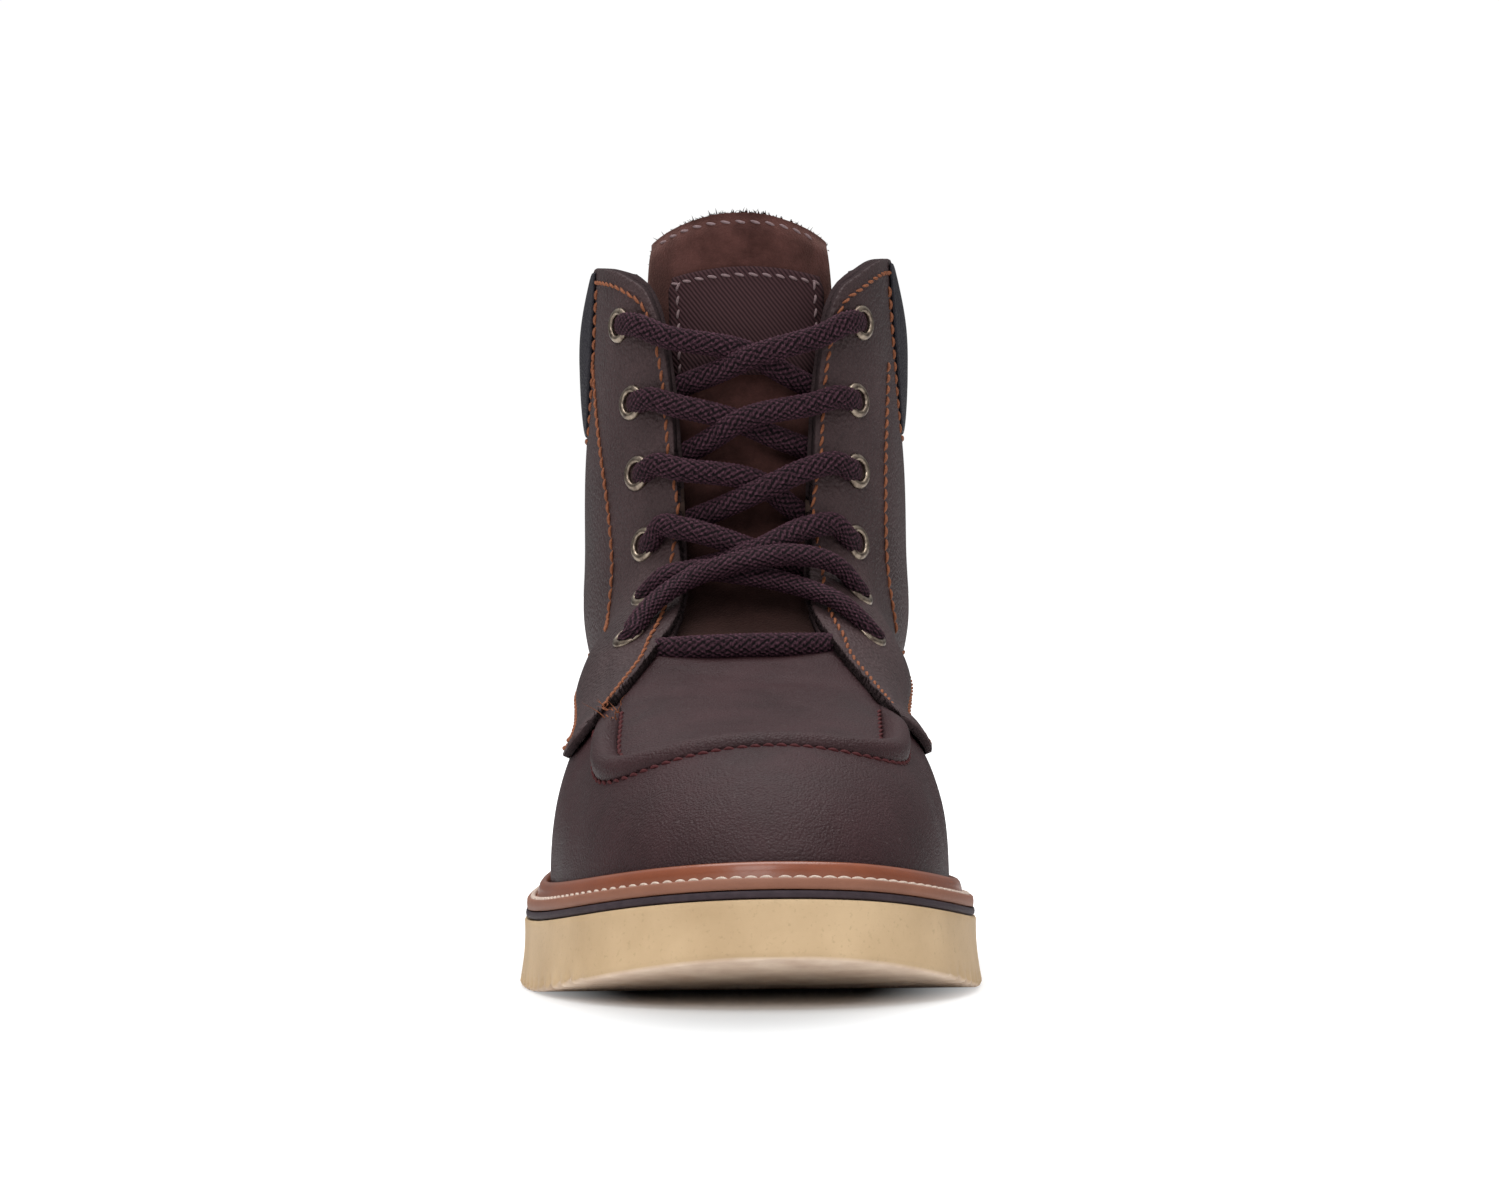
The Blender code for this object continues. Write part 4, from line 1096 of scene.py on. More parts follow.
upper_folds = [
    ((-0.030, 0.100, 0.071), (0.014, 0.112, 0.077), 0.0045, 0.0004),
    ((-0.012, 0.118, 0.079), (0.030, 0.106, 0.074), 0.0050, 0.0005),
    ((-0.047, 0.060, 0.045), (-0.044, 0.085, 0.055), 0.0070, 0.0008),
    ((0.047, 0.066, 0.046), (0.046, 0.088, 0.055), 0.0070, 0.0007),
    ((-0.049, 0.118, 0.040), (-0.045, 0.150, 0.062), 0.0070, 0.0008),
    ((0.045, 0.118, 0.042), (0.044, 0.148, 0.062), 0.0070, 0.0008),
    *SIDE_SWELLS,
    ((0.041, 0.235, 0.078), (0.040, 0.262, 0.070), 0.0060, 0.0006),
    ((-0.041, 0.235, 0.078), (-0.040, 0.262, 0.070), 0.0060, 0.0006),
]
dense += outward(dense) * crease(dense, upper_folds)[..., None]


def gap_at(height):
    """Half width between the facings at a height."""
    return np.interp(height, FACING["height"], FACING["half_gap"])


# The wall's front edge stays behind the quarter's
behind = gap_at(dense[..., 2]) + FACING_SETBACK
facing_edge = (dense[..., 2] > SETBACK_ABOVE) & (dense[..., 1] < SETBACK_AHEAD)
ahead = facing_edge & (np.abs(dense[..., 0]) < behind)
dense[..., 0] = np.where(ahead, np.sign(dense[..., 0]) * behind, dense[..., 0])
faces = grid_quads(*dense.shape[:2], wrap=True)
upper = weld(link_mesh("upper_shell", to_world(dense), faces, [brown_leather, lining_cloth(), cut_edge]))
wall = upper.modifiers.new("wall", "SOLIDIFY")
wall.thickness = WALL
wall.offset = -1.0
wall.material_offset = 1
wall.material_offset_rim = 2
put_on(upper, "upper_leather", "upper")


# Toe seam roll
# Where the toe wall meets the apron, the vamp's leather is rolled over the seam and stitched down on both
# sides in dark red thread. The roll's ends run back under the quarters.

ROLL_FRONT, ROLL_CORNER, ROLL_BACK = 0.045, 0.074, 0.1035
ROLL_HALF, ROLL_CENTRE, ROLL_POWER = 0.0360, 0.0008, 2.7
ROLL_STEPS, ROLL_ARM, ROLL_ROUND = 260, 8, 19
ROLL_WIDE, ROLL_HIGH, ROLL_SUNK, ROLL_UNDER = 0.0038, 0.0031, 0.0003, 0.0009
ROLL_SEAM_END = 0.0985
ROLL_SEAMS = ((0.0043, (0.0037, 0.0031, 0.00050)), (-0.0042, (0.0032, 0.0031, 0.00050)))


def roll_path():
    """Squared U in plan, from the lateral arm round the front to the medial arm, on top of the vamp."""
    angle = np.radians(np.linspace(-90.0, 90.0, 61))
    power = 2.0 / ROLL_POWER
    x = ROLL_CENTRE + ROLL_HALF * np.sign(angle) * np.abs(np.sin(angle)) ** power
    along = ROLL_CORNER - (ROLL_CORNER - ROLL_FRONT) * np.abs(np.cos(angle)) ** power
    arm = np.linspace(ROLL_BACK, ROLL_CORNER, ROLL_ARM + 1)[:-1]
    x = np.concatenate([np.full(ROLL_ARM, x[0]), x, np.full(ROLL_ARM, x[-1])])
    along = np.concatenate([arm, along, arm[::-1]])
    return resample(from_above(x, along), np.linspace(0.0, 1.0, ROLL_STEPS))


def smooth_path(path, passes):
    """A path with its corners eased: each inner point moves to the mean of its neighbours and itself."""
    path = path.copy()
    for _ in range(passes):
        path[1:-1] = 0.25 * path[:-2] + 0.5 * path[1:-1] + 0.25 * path[2:]
    return path


path = smooth_path(roll_path(), 60)
normal = outward(path)
run = unit(np.gradient(path, axis=0))
out = np.cross(normal, run)
share = np.linspace(-1.0, 1.0, ROLL_ROUND)
corner = ease(np.abs(path[:, 0] - ROLL_CENTRE), 0.018, 0.038)
tail = 1.0 - 0.62 * ease(path[:, 1], 0.078, 0.102)
half_wide = ROLL_WIDE + 0.0002 * corner
high = (ROLL_HIGH + 0.0010 * corner) * tail
hump = np.clip(1.0 - np.abs(share) ** 2.3, 0.0, 1.0) ** 0.72
rows = path[:, None] + out[:, None] * (half_wide[:, None] * share)[..., None]
rows = rows + normal[:, None] * (high[:, None] * hump - ROLL_SUNK)[..., None]
rows = np.concatenate([rows, (path - normal * ROLL_UNDER)[:, None]], axis=1)
faces = grid_quads(*rows.shape[:2], wrap=True)
roll = weld(link_mesh("toe_seam_roll_bead", to_world(rows), faces, [brown_leather]))
put_on(roll, "upper_leather", "toe_seam_roll")

red_thread = thread("red_thread", (0.030, 0.004, 0.006), (0.105, 0.016, 0.018))
front = path[:, 1] < ROLL_SEAM_END
seams = []
for offset, stitch in ROLL_SEAMS:
    line = path + out * offset
    line = line - outward(line) * last(line)[:, None]
    seams.append((line[front], outward(line[front]), *stitch))
sew("toe_roll_stitches", seams, red_thread)


# Quarters
# A panel on each side, cut from brown leather of coarser grain with raw edges. It lies over the vamp from
# the flap at the toe seam, up the facing and round to the back seam, and orange-brown thread holds it down.

QUARTER_SEAT, QUARTER, QUARTER_SIDE, QUARTER_SKIVE = 0.0002, 0.0022, 0.0012, 0.0008
QUARTER_FOOT = table(
    "along height",
    (0.088, 0.0720),
    (0.096, 0.0592),
    (0.102, 0.0572),
    (0.130, 0.0600),
    (0.160, 0.0665),
    (0.190, 0.0730),
    (0.235, 0.0765),
    (0.270, 0.0750),
    (0.300, 0.0720),
)
REAR_LINE = table(
    "height lateral medial",
    (0.0868, 0.0347, 0.0372),
    (0.0930, 0.0340, 0.0367),
    (0.1070, 0.0336, 0.0356),
    (0.1203, 0.0346, 0.0355),
    (0.1335, 0.0364, 0.0358),
    (0.1455, 0.0382, 0.0366),
    (0.1630, 0.0399, 0.0379),
)


def quarter_thick(p):
    """Leather thickness: full at facing and flap, thinner round the sides, skived along the lower edge."""
    full = QUARTER + (QUARTER_SIDE - QUARTER) * ease(p[..., 1], 0.196, 0.222)
    above = p[..., 2] - column_at(QUARTER_FOOT, p[..., 1], "height")
    skive = ease(p[..., 1], 0.108, 0.122) * (1.0 - ease(above, 0.0, 0.0070))
    return full + (QUARTER_SKIVE - full) * skive


def on_quarter(path):
    """A path on the last carried out to the quarter's face."""
    rise = QUARTER_SEAT + quarter_thick(path) + crease(path, SIDE_SWELLS)
    return path + outward(path) * rise[:, None]


def quarter_span(meridians):
    """Chord shares where each meridian enters the quarter over its foot and leaves it past the flap."""
    share = np.repeat(np.linspace(0.0, 1.0, 81)[:, None], len(meridians[0]), axis=1)
    p = on_fan(meridians, share)
    foot = p[..., 2] - column_at(QUARTER_FOOT, p[..., 1], "height")
    front = np.abs(p[..., 0]) - column_at(FACING, p[..., 2], "half_gap")
    front = np.where((p[..., 2] < THROAT + 0.008) & (p[..., 1] < LEG_AXIS), front, 1.0)
    inside = np.minimum(foot, front)
    steps, columns = len(inside) - 1, np.arange(inside.shape[1])
    first = np.clip(np.argmax(inside > 0, axis=0), 1, steps)
    last_in = np.clip(steps - np.argmax(inside[::-1] > 0, axis=0), 0, steps - 1)
    enter = inside[first, columns] / (inside[first, columns] - inside[first - 1, columns])
    leave = inside[last_in, columns] / (inside[last_in, columns] - inside[last_in + 1, columns] + 1e-12)
    end = np.where(inside[-1] > 0, 1.0, (last_in + leave) / steps)
    return (first - enter) / steps, np.where((inside > 0).any(axis=0), end, 0.0)


def slab(name, under, over, materials):
    """Closed sheet between two matching grids of points, with walls of the last material round its edge."""
    rows, columns = under.shape[:2]
    size = rows * columns
    index = np.arange(size).reshape(rows, columns)
    rim = np.concatenate([index[0], index[1:, -1], index[-1, -2::-1], index[-2:0:-1, 0]])
    following = np.roll(rim, -1)
    walls = np.stack([rim, following, following + size, rim + size], axis=1)
    faces = grid_quads(rows, columns)
    quads = np.concatenate([faces, faces + size, walls])
    points = np.concatenate([under.reshape(-1, 3), over.reshape(-1, 3)])
    piece = link_mesh(name, to_world(points), quads, materials, wall_from=2 * len(faces))
    return weld(piece)


BORDER_SHARE = 0.86


def rounded(rows, columns):
    """Share of the full thickness over a sheet: a little less along its border."""
    share = np.ones((rows, columns))
    share[[0, -1]] = BORDER_SHARE
    share[:, [0, -1]] = BORDER_SHARE
    return share


PULL_WIDE, PULL_AHEAD = 0.0014, 0.225


def seam_pull(away, along):
    """Bell across a seam, on the front of the boot only."""
    return np.exp(-((away / PULL_WIDE) ** 2)) * (along < PULL_AHEAD)


def side_name(side):
    """Name of a side, -1 lateral or +1 medial."""
    return "lateral" if side < 0 else "medial"


quarter_leather = oiled_leather(
    "quarter_leather", (0.034, 0.0190, 0.0198), (0.068, 0.0400, 0.0415),
    roughness=0.53, grain=880.0, dust=0.06, relief=0.95,
)
QUARTER_ROWS, QUARTER_COLUMNS, QUARTER_MARGIN = 64, 150, 0.0005
QUARTER_FACE = QUARTER_SEAT + QUARTER
OVER_ROLL, OVER_ROLL_X, OVER_ROLL_ALONG = 0.0010, 0.0395, 0.098
REAR_PULL, FACING_PULL, FACING_DIP = 0.00028, 0.00022, 0.0033
quarter_grids = {}
for side in (-1.0, 1.0):
    trial = np.linspace(0.12, 0.40, 60)
    start, end = quarter_span(fan(side, trial))
    tip = trial[np.argmax(end - start > 0.02)]
    shares = np.concatenate([[tip, tip + 0.0012], np.linspace(tip + 0.004, 0.9985, QUARTER_COLUMNS)])
    meridians = fan(side, shares)
    start, end = quarter_span(meridians)
    base = on_fan(meridians, even_shares(meridians, start, end, QUARTER_ROWS, QUARTER_MARGIN))
    quarter_grids[side] = base
    normal = outward(base)
    x, along, height = base[..., 0], base[..., 1], base[..., 2]
    over_roll = np.exp(
        -(((along - OVER_ROLL_ALONG) / 0.006) ** 2) - ((np.abs(x) - OVER_ROLL_X) / 0.005) ** 2
    )
    lift = QUARTER_SEAT + OVER_ROLL * over_roll + crease(base, SIDE_SWELLS)
    rear = side * np.interp(height, REAR_LINE["height"], REAR_LINE[side_name(side)])
    pull = REAR_PULL * seam_pull(x - rear, along)
    pull += FACING_PULL * seam_pull(np.abs(x) - gap_at(height) - FACING_DIP, along)
    top = lift + quarter_thick(base) * rounded(*base.shape[:2]) - pull
    under, over = base + normal * lift[..., None], base + normal * top[..., None]
    name = "quarter_" + side_name(side)
    put_on(slab(name + "_panel", under, over, [quarter_leather, cut_edge]), "upper_leather", name)


orange_thread = thread("orange_thread", (0.085, 0.024, 0.010), (0.40, 0.140, 0.062))
QUARTER_STITCH = (0.0034, 0.0034, 0.00046)
FACING_INSET, FACING_END, FACING_DEEP = 0.0040, 0.224, 0.010
FOOT_ROWS, FOOT_DEEP = (0.0024, 0.0052), 0.014
BACK_SEAM_TOP = 0.136


def set_in(grid, inset):
    """Points at a distance in from a grid's last row, measured along each column."""
    grid = grid[::-1]
    run = run_along(grid)
    cell = np.clip((run <= inset).sum(axis=0) - 1, 0, len(run) - 2)
    column = np.arange(grid.shape[1])
    share = ((inset - run[cell, column]) / (run[cell + 1, column] - run[cell, column]))[:, None]
    return grid[cell, column] * (1.0 - share) + grid[cell + 1, column] * share


def facing_stitch(side):
    """Line set in from the edge of flap and facing, up round the collar corner as far as the pad."""
    grid = quarter_grids[side]
    deep = np.linalg.norm(grid[-1] - grid[0], axis=1) > FACING_DEEP
    return on_quarter(set_in(grid, FACING_INSET)[deep & (grid[-1, :, 1] < FACING_END)])


def rear_stitch(side):
    """Line from the collar down behind the eyelets to the flap."""
    line = from_front(side * REAR_LINE[side_name(side)], REAR_LINE["height"])
    return on_quarter(curve_through(line, 220))


def foot_stitch(side, rise):
    """Line along the quarter's lower edge, a set distance above it."""
    grid = quarter_grids[side]
    deep = np.linalg.norm(grid[-1] - grid[0], axis=1) > FOOT_DEEP
    return on_quarter(set_in(grid[::-1], rise)[deep])


def back_stitch(side):
    """Line beside the back seam, up to the pad."""
    column = quarter_grids[side][:, -3]
    return on_quarter(column[column[:, 2] < BACK_SEAM_TOP])


seams = []
for side in (-1.0, 1.0):
    lines = [facing_stitch(side), rear_stitch(side)]
    lines += [foot_stitch(side, rise) for rise in FOOT_ROWS]
    lines += [back_stitch(side)]
    seams += [(line, outward(line), *QUARTER_STITCH) for line in lines]
sew("quarter_stitches", seams, orange_thread)


# Collar pad
# A band of dark navy leather over foam, sewn behind the facing and round the back of the collar.
# Two rows of orange-brown thread run up its front edge, and one along its foot.

PAD_FRONT = table("height turn", (0.1425, 77), (0.1640, 72), (0.1850, 70))
PAD_FOOT, PAD_FOOT_RISE, PAD_TALL = 0.1385, 0.003, 0.044
PAD, PAD_EDGE, PAD_TOP_INSET = 0.0021, 0.0005, 0.0012
PAD_SEAT = QUARTER_SEAT + QUARTER_SIDE + 0.0001


def pad_front(height):
    """Turn of the pad's slanted front edge at a height."""
    return column_at(PAD_FRONT, height, "turn")


def pad_plan(side, turn, high):
    """Points of the pad's seat: from its slanted front edge to the back, foot to top."""
    start = pad_front(high * PAD_TALL + PAD_FOOT)
    turns = start + (180.0 - start) * turn
    top = collar_height(turns, side) - PAD_TOP_INSET
    foot = PAD_FOOT + PAD_FOOT_RISE * (1 - turn)
    heights = foot + (top - foot) * high
    return around(turns.ravel(), heights.ravel(), side).reshape(*turns.shape, 3)


navy_leather = oiled_leather(
    "navy_leather", (0.0125, 0.0112, 0.0158), (0.029, 0.0260, 0.0340),
    roughness=0.50, grain=1300.0, dust=0.04, relief=0.50,
)
turn = np.concatenate([[0.0, 0.006], np.linspace(0.015, 1.0, 70)])[None]
high = np.concatenate([[0.0, 0.012], np.linspace(0.03, 0.97, 34), [0.988, 1.0]])[:, None]
halves = [pad_plan(side, turn, high) for side in (-1.0, 1.0)]
base = np.concatenate([halves[0], halves[1][:, -2::-1]], axis=1)
both = np.concatenate([turn, turn[:, -2::-1]], axis=1)
swell = np.sin(np.pi * np.clip(high, 0.0, 1.0)) ** 0.75 * ease(both, -0.02, 0.10) ** 0.7
wrinkle = 0.10 * np.sin(both * 31.0 + 2.0 * high) * np.sin(high * 7.0) * swell
normal = outward(base)
top = PAD_SEAT + PAD_EDGE + PAD * (1.15 * swell + wrinkle)
pad = slab("collar_pad_cushion", base + normal * PAD_SEAT, base + normal * top[..., None], [navy_leather])
put_on(pad, "collar_leather", "collar_pad")

PAD_STITCH = (0.0034, 0.0030, 0.00038)
PAD_FOOT_STITCH = (0.0034, 0.0030, 0.00046)
PAD_ROWS_AHEAD = (0.9, 3.0)
PAD_ROW_BELOW = 0.0016
seams = []
for side in (-1.0, 1.0):
    height = np.linspace(0.1405, 0.1825, 60)
    for ahead in PAD_ROWS_AHEAD:
        line = on_quarter(around(pad_front(height) - ahead, height, side))
        seams.append((line, outward(line), *PAD_STITCH))
    turns = np.linspace(PAD_FRONT["turn"][0], 180.0, 120)
    foot = PAD_FOOT + PAD_FOOT_RISE * (1 - (turns - turns[0]) / (turns[-1] - turns[0]))
    line = on_quarter(around(turns, foot - PAD_ROW_BELOW, side))
    seams.append((line, outward(line), *PAD_FOOT_STITCH))
sew("pad_stitches", seams, orange_thread)


# Tongue and label
# A padded tongue of reddish brown suede with a raw, fuzzy top edge.
# A plain patch of woven twill is sewn on its face with pale thread.

TONGUE, TONGUE_FOOT = 0.0045, 0.0755
TONGUE_PEAK, TONGUE_ARCH = 0.1996, 0.0080
TONGUE_SHIFT = 0.0010
TONGUE_FORM = table(
    "height half depth",
    (TONGUE_FOOT, 0.0200, 0.0031),
    (0.0815, 0.0230, 0.0032),
    (0.0900, 0.0250, 0.0052),
    (0.1000, 0.0255, 0.0058),
    (0.1500, 0.0265, 0.0058),
    (0.1900, 0.0260, 0.0058),
    (0.1965, 0.0247, 0.0058),
    (0.2000, 0.0205, 0.0058),
)


def tongue_face(height, share):
    """Points of the tongue's face at heights and shares of its half width."""
    height, share = np.broadcast_arrays(height, share)
    half, depth = [column_at(TONGUE_FORM, height, column) for column in ("half", "depth")]
    x = half * share - TONGUE_SHIFT * ease(height, 0.120, 0.190)
    return from_front(x.ravel(), height.ravel(), -depth.ravel()).reshape(*height.shape, 3)


def tongue_top(share):
    """Height of the tongue's arched top edge at a share of its half width."""
    return TONGUE_PEAK - TONGUE_ARCH * np.abs(share) ** 2.6


def tongue_thick(share, rise):
    """Thickness at shares of half width and height: full in the middle, thinner along sides and top."""
    edge = np.minimum(ease(1.0 - np.abs(share), -0.02, 0.10), 1.0 - 0.75 * ease(rise, 0.955, 1.0))
    return TONGUE * (0.35 + 0.65 * edge)


def suede():
    """Suede: mottled nap that catches light along its fibres, with painted shade darkening it low in the
    throat.
    """
    material, tree, shader, place = start_material(
        "brown_suede", Roughness=0.95, Specular_IOR_Level=0.12,
        Sheen_Weight=0.35, Sheen_Roughness=0.5, Sheen_Tint=(0.62, 0.38, 0.33, 1.0),
    )
    brushed = spread_range(tree, noise_at(tree, place, 130.0, 5.0, 0.65), 0.0, 1.0, 0.35, 0.65)
    base = mix_colour(tree, brushed, (0.050, 0.0185, 0.0155), (0.108, 0.043, 0.037))
    nap = noise_at(tree, place, 1700.0, 3.0, 0.7)
    napped = mix_colour(tree, spread_range(tree, nap, 0.0, 0.5), base, (0.030, 0.012, 0.010))
    level = set_inputs(add_node(tree, "ShaderNodeSeparateXYZ"), Vector=place)
    # Painted shade: the nap darkens towards the foot of the throat, where the facings shadow it
    throat_painted_shade = spread_range(tree, level.outputs["Z"], 0.72, 0.0, 0.088, 0.150)
    set_inputs(
        shader,
        Base_Color=mix_colour(tree, throat_painted_shade, napped, (0.0085, 0.0036, 0.0034)),
        Normal=bump_from(tree, nap, 0.7, 0.0005),
    )
    return material


rise = np.concatenate([np.linspace(0.0, 0.965, 70), [0.977, 0.986, 0.993, 0.998, 1.0]])[:, None]
share = np.concatenate([[-1.0, -0.985], np.linspace(-0.96, 0.96, 50), [0.985, 1.0]])[None]
face = tongue_face(TONGUE_FOOT + (tongue_top(share) - TONGUE_FOOT) * rise, share)
normal = outward(face)
sunk = TONGUE - tongue_thick(share, rise)
tongue = slab("tongue_suede", face - normal * TONGUE, face - normal * sunk[..., None], [suede()])
put_on(tongue, "tongue_suede", "tongue")

LABEL_LOW, LABEL_HIGH, LABEL_HALF = 0.1560, 0.1850, 0.0203
LABEL, LABEL_SUNK, LABEL_SHIFT, LABEL_ARCH = 0.0009, 0.0002, 0.0018, 0.0026


def twill():
    """Dark twill: slanting ribs of yarn over a plain ground."""
    material, tree, shader, place = start_material("dark_twill", Roughness=0.85, Specular_IOR_Level=0.2)
    slant = (0.0, np.radians(38.0), 0.0)
    turned = set_inputs(add_node(tree, "ShaderNodeMapping"), Vector=place, Rotation=slant)
    wave = add_node(tree, "ShaderNodeTexWave", bands_direction="X")
    set_inputs(wave, Vector=turned.outputs["Vector"], Scale=330.0, Distortion=0.8, Detail=1.0)
    rib = wave.outputs["Fac"]
    set_inputs(
        shader,
        Base_Color=mix_colour(tree, rib, (0.022, 0.0088, 0.0101), (0.066, 0.0300, 0.0335)),
        Normal=bump_from(tree, rib, 0.5, 0.0003),
    )
    return material


share = np.linspace(-1.0, 1.0, 50)[None]
rise = np.linspace(0.0, 1.0, 40)[:, None]
height = LABEL_LOW + (LABEL_HIGH - LABEL_ARCH * share**2 - LABEL_LOW) * rise
half = column_at(TONGUE_FORM, height, "half")
label_x = LABEL_HALF * (1.0 - 0.05 * ease(rise, 0.85, 1.0)) * share + LABEL_SHIFT
label_grid = tongue_face(height, label_x / half)
normal = outward(label_grid)
lift = LABEL * rounded(*label_grid.shape[:2])
under, over = label_grid - normal * LABEL_SUNK, label_grid + normal * lift[..., None]
label = slab("tongue_patch", under, over, [twill()])
put_on(label, "tongue_suede")

CROWN_STITCH, CROWN_INSET = (0.0040, 0.0030, 0.00042), 0.0026
LABEL_STITCH = (0.0037, 0.0029, 0.00042)
pale_thread = thread("pale_thread", (0.10, 0.060, 0.064), (0.33, 0.235, 0.24))
share = np.linspace(-0.86, 0.86, 90)
crown_row = tongue_face(tongue_top(share) - CROWN_INSET, share)
sunk = TONGUE - tongue_thick(share, 1.0 - CROWN_INSET / (tongue_top(share) - TONGUE_FOOT))
crown_row = crown_row - outward(crown_row) * sunk[:, None]
seams = [(crown_row, outward(crown_row), *CROWN_STITCH)]
inside = label_grid + normal * LABEL
for line in (inside[-4], inside[:, 3], inside[:, -4]):
    seams.append((line, outward(line), *LABEL_STITCH))
sew("tongue_stitches", seams, pale_thread)


# Eyelets
# Six pairs of antique bronze grommets, each rolled from one thin cup and clinched through quarter and lining.
# The lowest pair sits on the flaps, further out than the pair above it.

EYELETS = table(
    "height lateral medial",
    (0.170, 0.0333, 0.0319),
    (0.149, 0.0300, 0.0302),
    (0.130, 0.0286, 0.0300),
    (0.111, 0.0270, 0.0297),
    (0.098, 0.0262, 0.0298),
    (0.087, 0.0305, 0.0325),
)
EYELET_SIDES = 40
GROMMET = table(
    "radius height",
    (0.00275, -0.0042),
    (0.00275, 0.0004),
    (0.00290, 0.0009),
    (0.00330, 0.00115),
    (0.00385, 0.00110),
    (0.00440, 0.00080),
    (0.00475, 0.00035),
    (0.00480, -0.00005),
    (0.00460, -0.00025),
    (0.00320, -0.00025),
    (0.00310, -0.0042),
)


def bronze():
    """Antique bronze: dark wash in patches, rubbed bright between them."""
    material, tree, shader, place = start_material("antique_bronze", Metallic=1.0, Roughness=0.32)
    wash = noise_at(tree, place, 520.0, 4.0)
    rubbed = spread_range(tree, wash, 0.0, 1.0, 0.35, 0.65)
    set_inputs(
        shader,
        Base_Color=mix_colour(tree, rubbed, (0.115, 0.085, 0.070), (0.38, 0.31, 0.24)),
        Roughness=spread_range(tree, wash, 0.42, 0.25),
        Normal=bump_from(tree, wash, 0.15, 0.0002),
    )
    return material


def eyelet_seats(side):
    """Places and normals of one side's eyelets on the quarter's face, collar first."""
    seat = from_front(side * EYELETS[side_name(side)], EYELETS["height"], QUARTER_FACE)
    return seat, outward(seat)


seat, normal = [np.concatenate(pair) for pair in zip(eyelet_seats(-1.0), eyelet_seats(1.0))]
first = unit(np.cross(normal, [0.0, 0.0, 1.0]))
second = np.cross(normal, first)
turn = np.linspace(0.0, 2.0 * np.pi, EYELET_SIDES, endpoint=False)
circle = np.cos(turn)[None, :, None] * first[:, None] + np.sin(turn)[None, :, None] * second[:, None]
points = seat[:, None, None] + GROMMET["radius"][None, :, None, None] * circle[:, None]
points = points + GROMMET["height"][None, :, None, None] * normal[:, None, None]
rings_each = len(GROMMET["radius"])
cup = grid_quads(rings_each, EYELET_SIDES, wrap=True, wrap_rows=True)
quads = copies_of(cup, len(seat), rings_each * EYELET_SIDES)
eyelets = weld(link_mesh("eyelets", to_world(points.reshape(-1, 3)), quads, [bronze()]))
names = [f"eyelet_{side}_{number}" for side in ("lateral", "medial") for number in range(1, 7)]
put_on(eyelets, "eyelet_brass", *names)


# Lace
# One braided cord of dark plum yarn, a flattened tube. A bar runs under the facings at the foot of the
# throat. From the lowest eyelets the cord crosses outside to the next pair, then up under one facing and
# over the other into each higher eyelet, and its ends go in at the top pair.

LACE_WIDE, LACE_THICK, LACE_SQUARE, LACE_RELIEF = 0.0059, 0.0038, 0.85, 0.00080
LACE_SIDES = 40
LACE_STEP = 0.00042
YARNS, YARN_RUN = 12.0, 0.0046
ON_FACE = QUARTER_FACE + LACE_THICK / 2.0 + 0.0002
IN_HOLE = QUARTER_FACE + 0.0014
BEHIND = -0.0025


def over_skin(rows):
    """Cord points from rows of (x, height, lift above the last)."""
    rows = np.array(rows)
    return from_front(rows[:, 0], rows[:, 1], rows[:, 2])


def braid(around_share, run):
    """Height of the braid, 0 to 1: two families of slanting yarns in a checker, each cell crowned."""
    a = YARNS * around_share + run / YARN_RUN * 2.0
    b = YARNS * around_share - run / YARN_RUN * 2.0
    over = (np.floor(a) + np.floor(b)) % 2.0
    across_a = np.abs(np.sin(np.pi * a))
    across_b = np.abs(np.sin(np.pi * b))
    crown_a = across_a**0.7 * (0.55 + 0.45 * across_b)
    crown_b = across_b**0.7 * (0.55 + 0.45 * across_a)
    return np.where(over > 0.5, crown_a, crown_b)


def cord_tube(rows, facing=None):
    """Flattened tube along a smooth curve: its rings of points, and the braid's height at each.

    The section is a squared oval, swelled by the braid and narrower at both ends of the run. Its flat side
    faces away from the last, or the way given.
    """
    path = over_skin(rows)
    length = np.linalg.norm(np.diff(curve_through(path, 200), axis=0), axis=1).sum()
    path = curve_through(path, int(length / LACE_STEP))
    run = unit(np.gradient(path, axis=0))
    up = smooth_path(outward(path), 40) if facing is None else np.broadcast_to(facing, path.shape)
    side = unit(np.cross(run, up))
    up = np.cross(side, run)
    around_share = np.arange(LACE_SIDES) / LACE_SIDES
    turn = 2.0 * np.pi * around_share
    along = np.linspace(0.0, length, len(path))
    crown = braid(around_share[None], along[:, None])
    wide = 0.5 * LACE_WIDE * np.sign(np.cos(turn)) * np.abs(np.cos(turn)) ** LACE_SQUARE
    thick = 0.5 * LACE_THICK * np.sign(np.sin(turn)) * np.abs(np.sin(turn)) ** LACE_SQUARE
    grow = 1.0 + LACE_RELIEF * (crown - 0.6) / (0.25 * (LACE_WIDE + LACE_THICK))
    tuck = np.minimum(along, length - along)
    grow *= (np.clip(tuck / 0.0012, 0.05, 1.0) * (0.80 + 0.20 * ease(tuck, 0.003, 0.009)))[:, None]
    points = path[:, None] + (wide * grow)[..., None] * side[:, None]
    points = points + (thick * grow)[..., None] * up[:, None]
    return points, crown


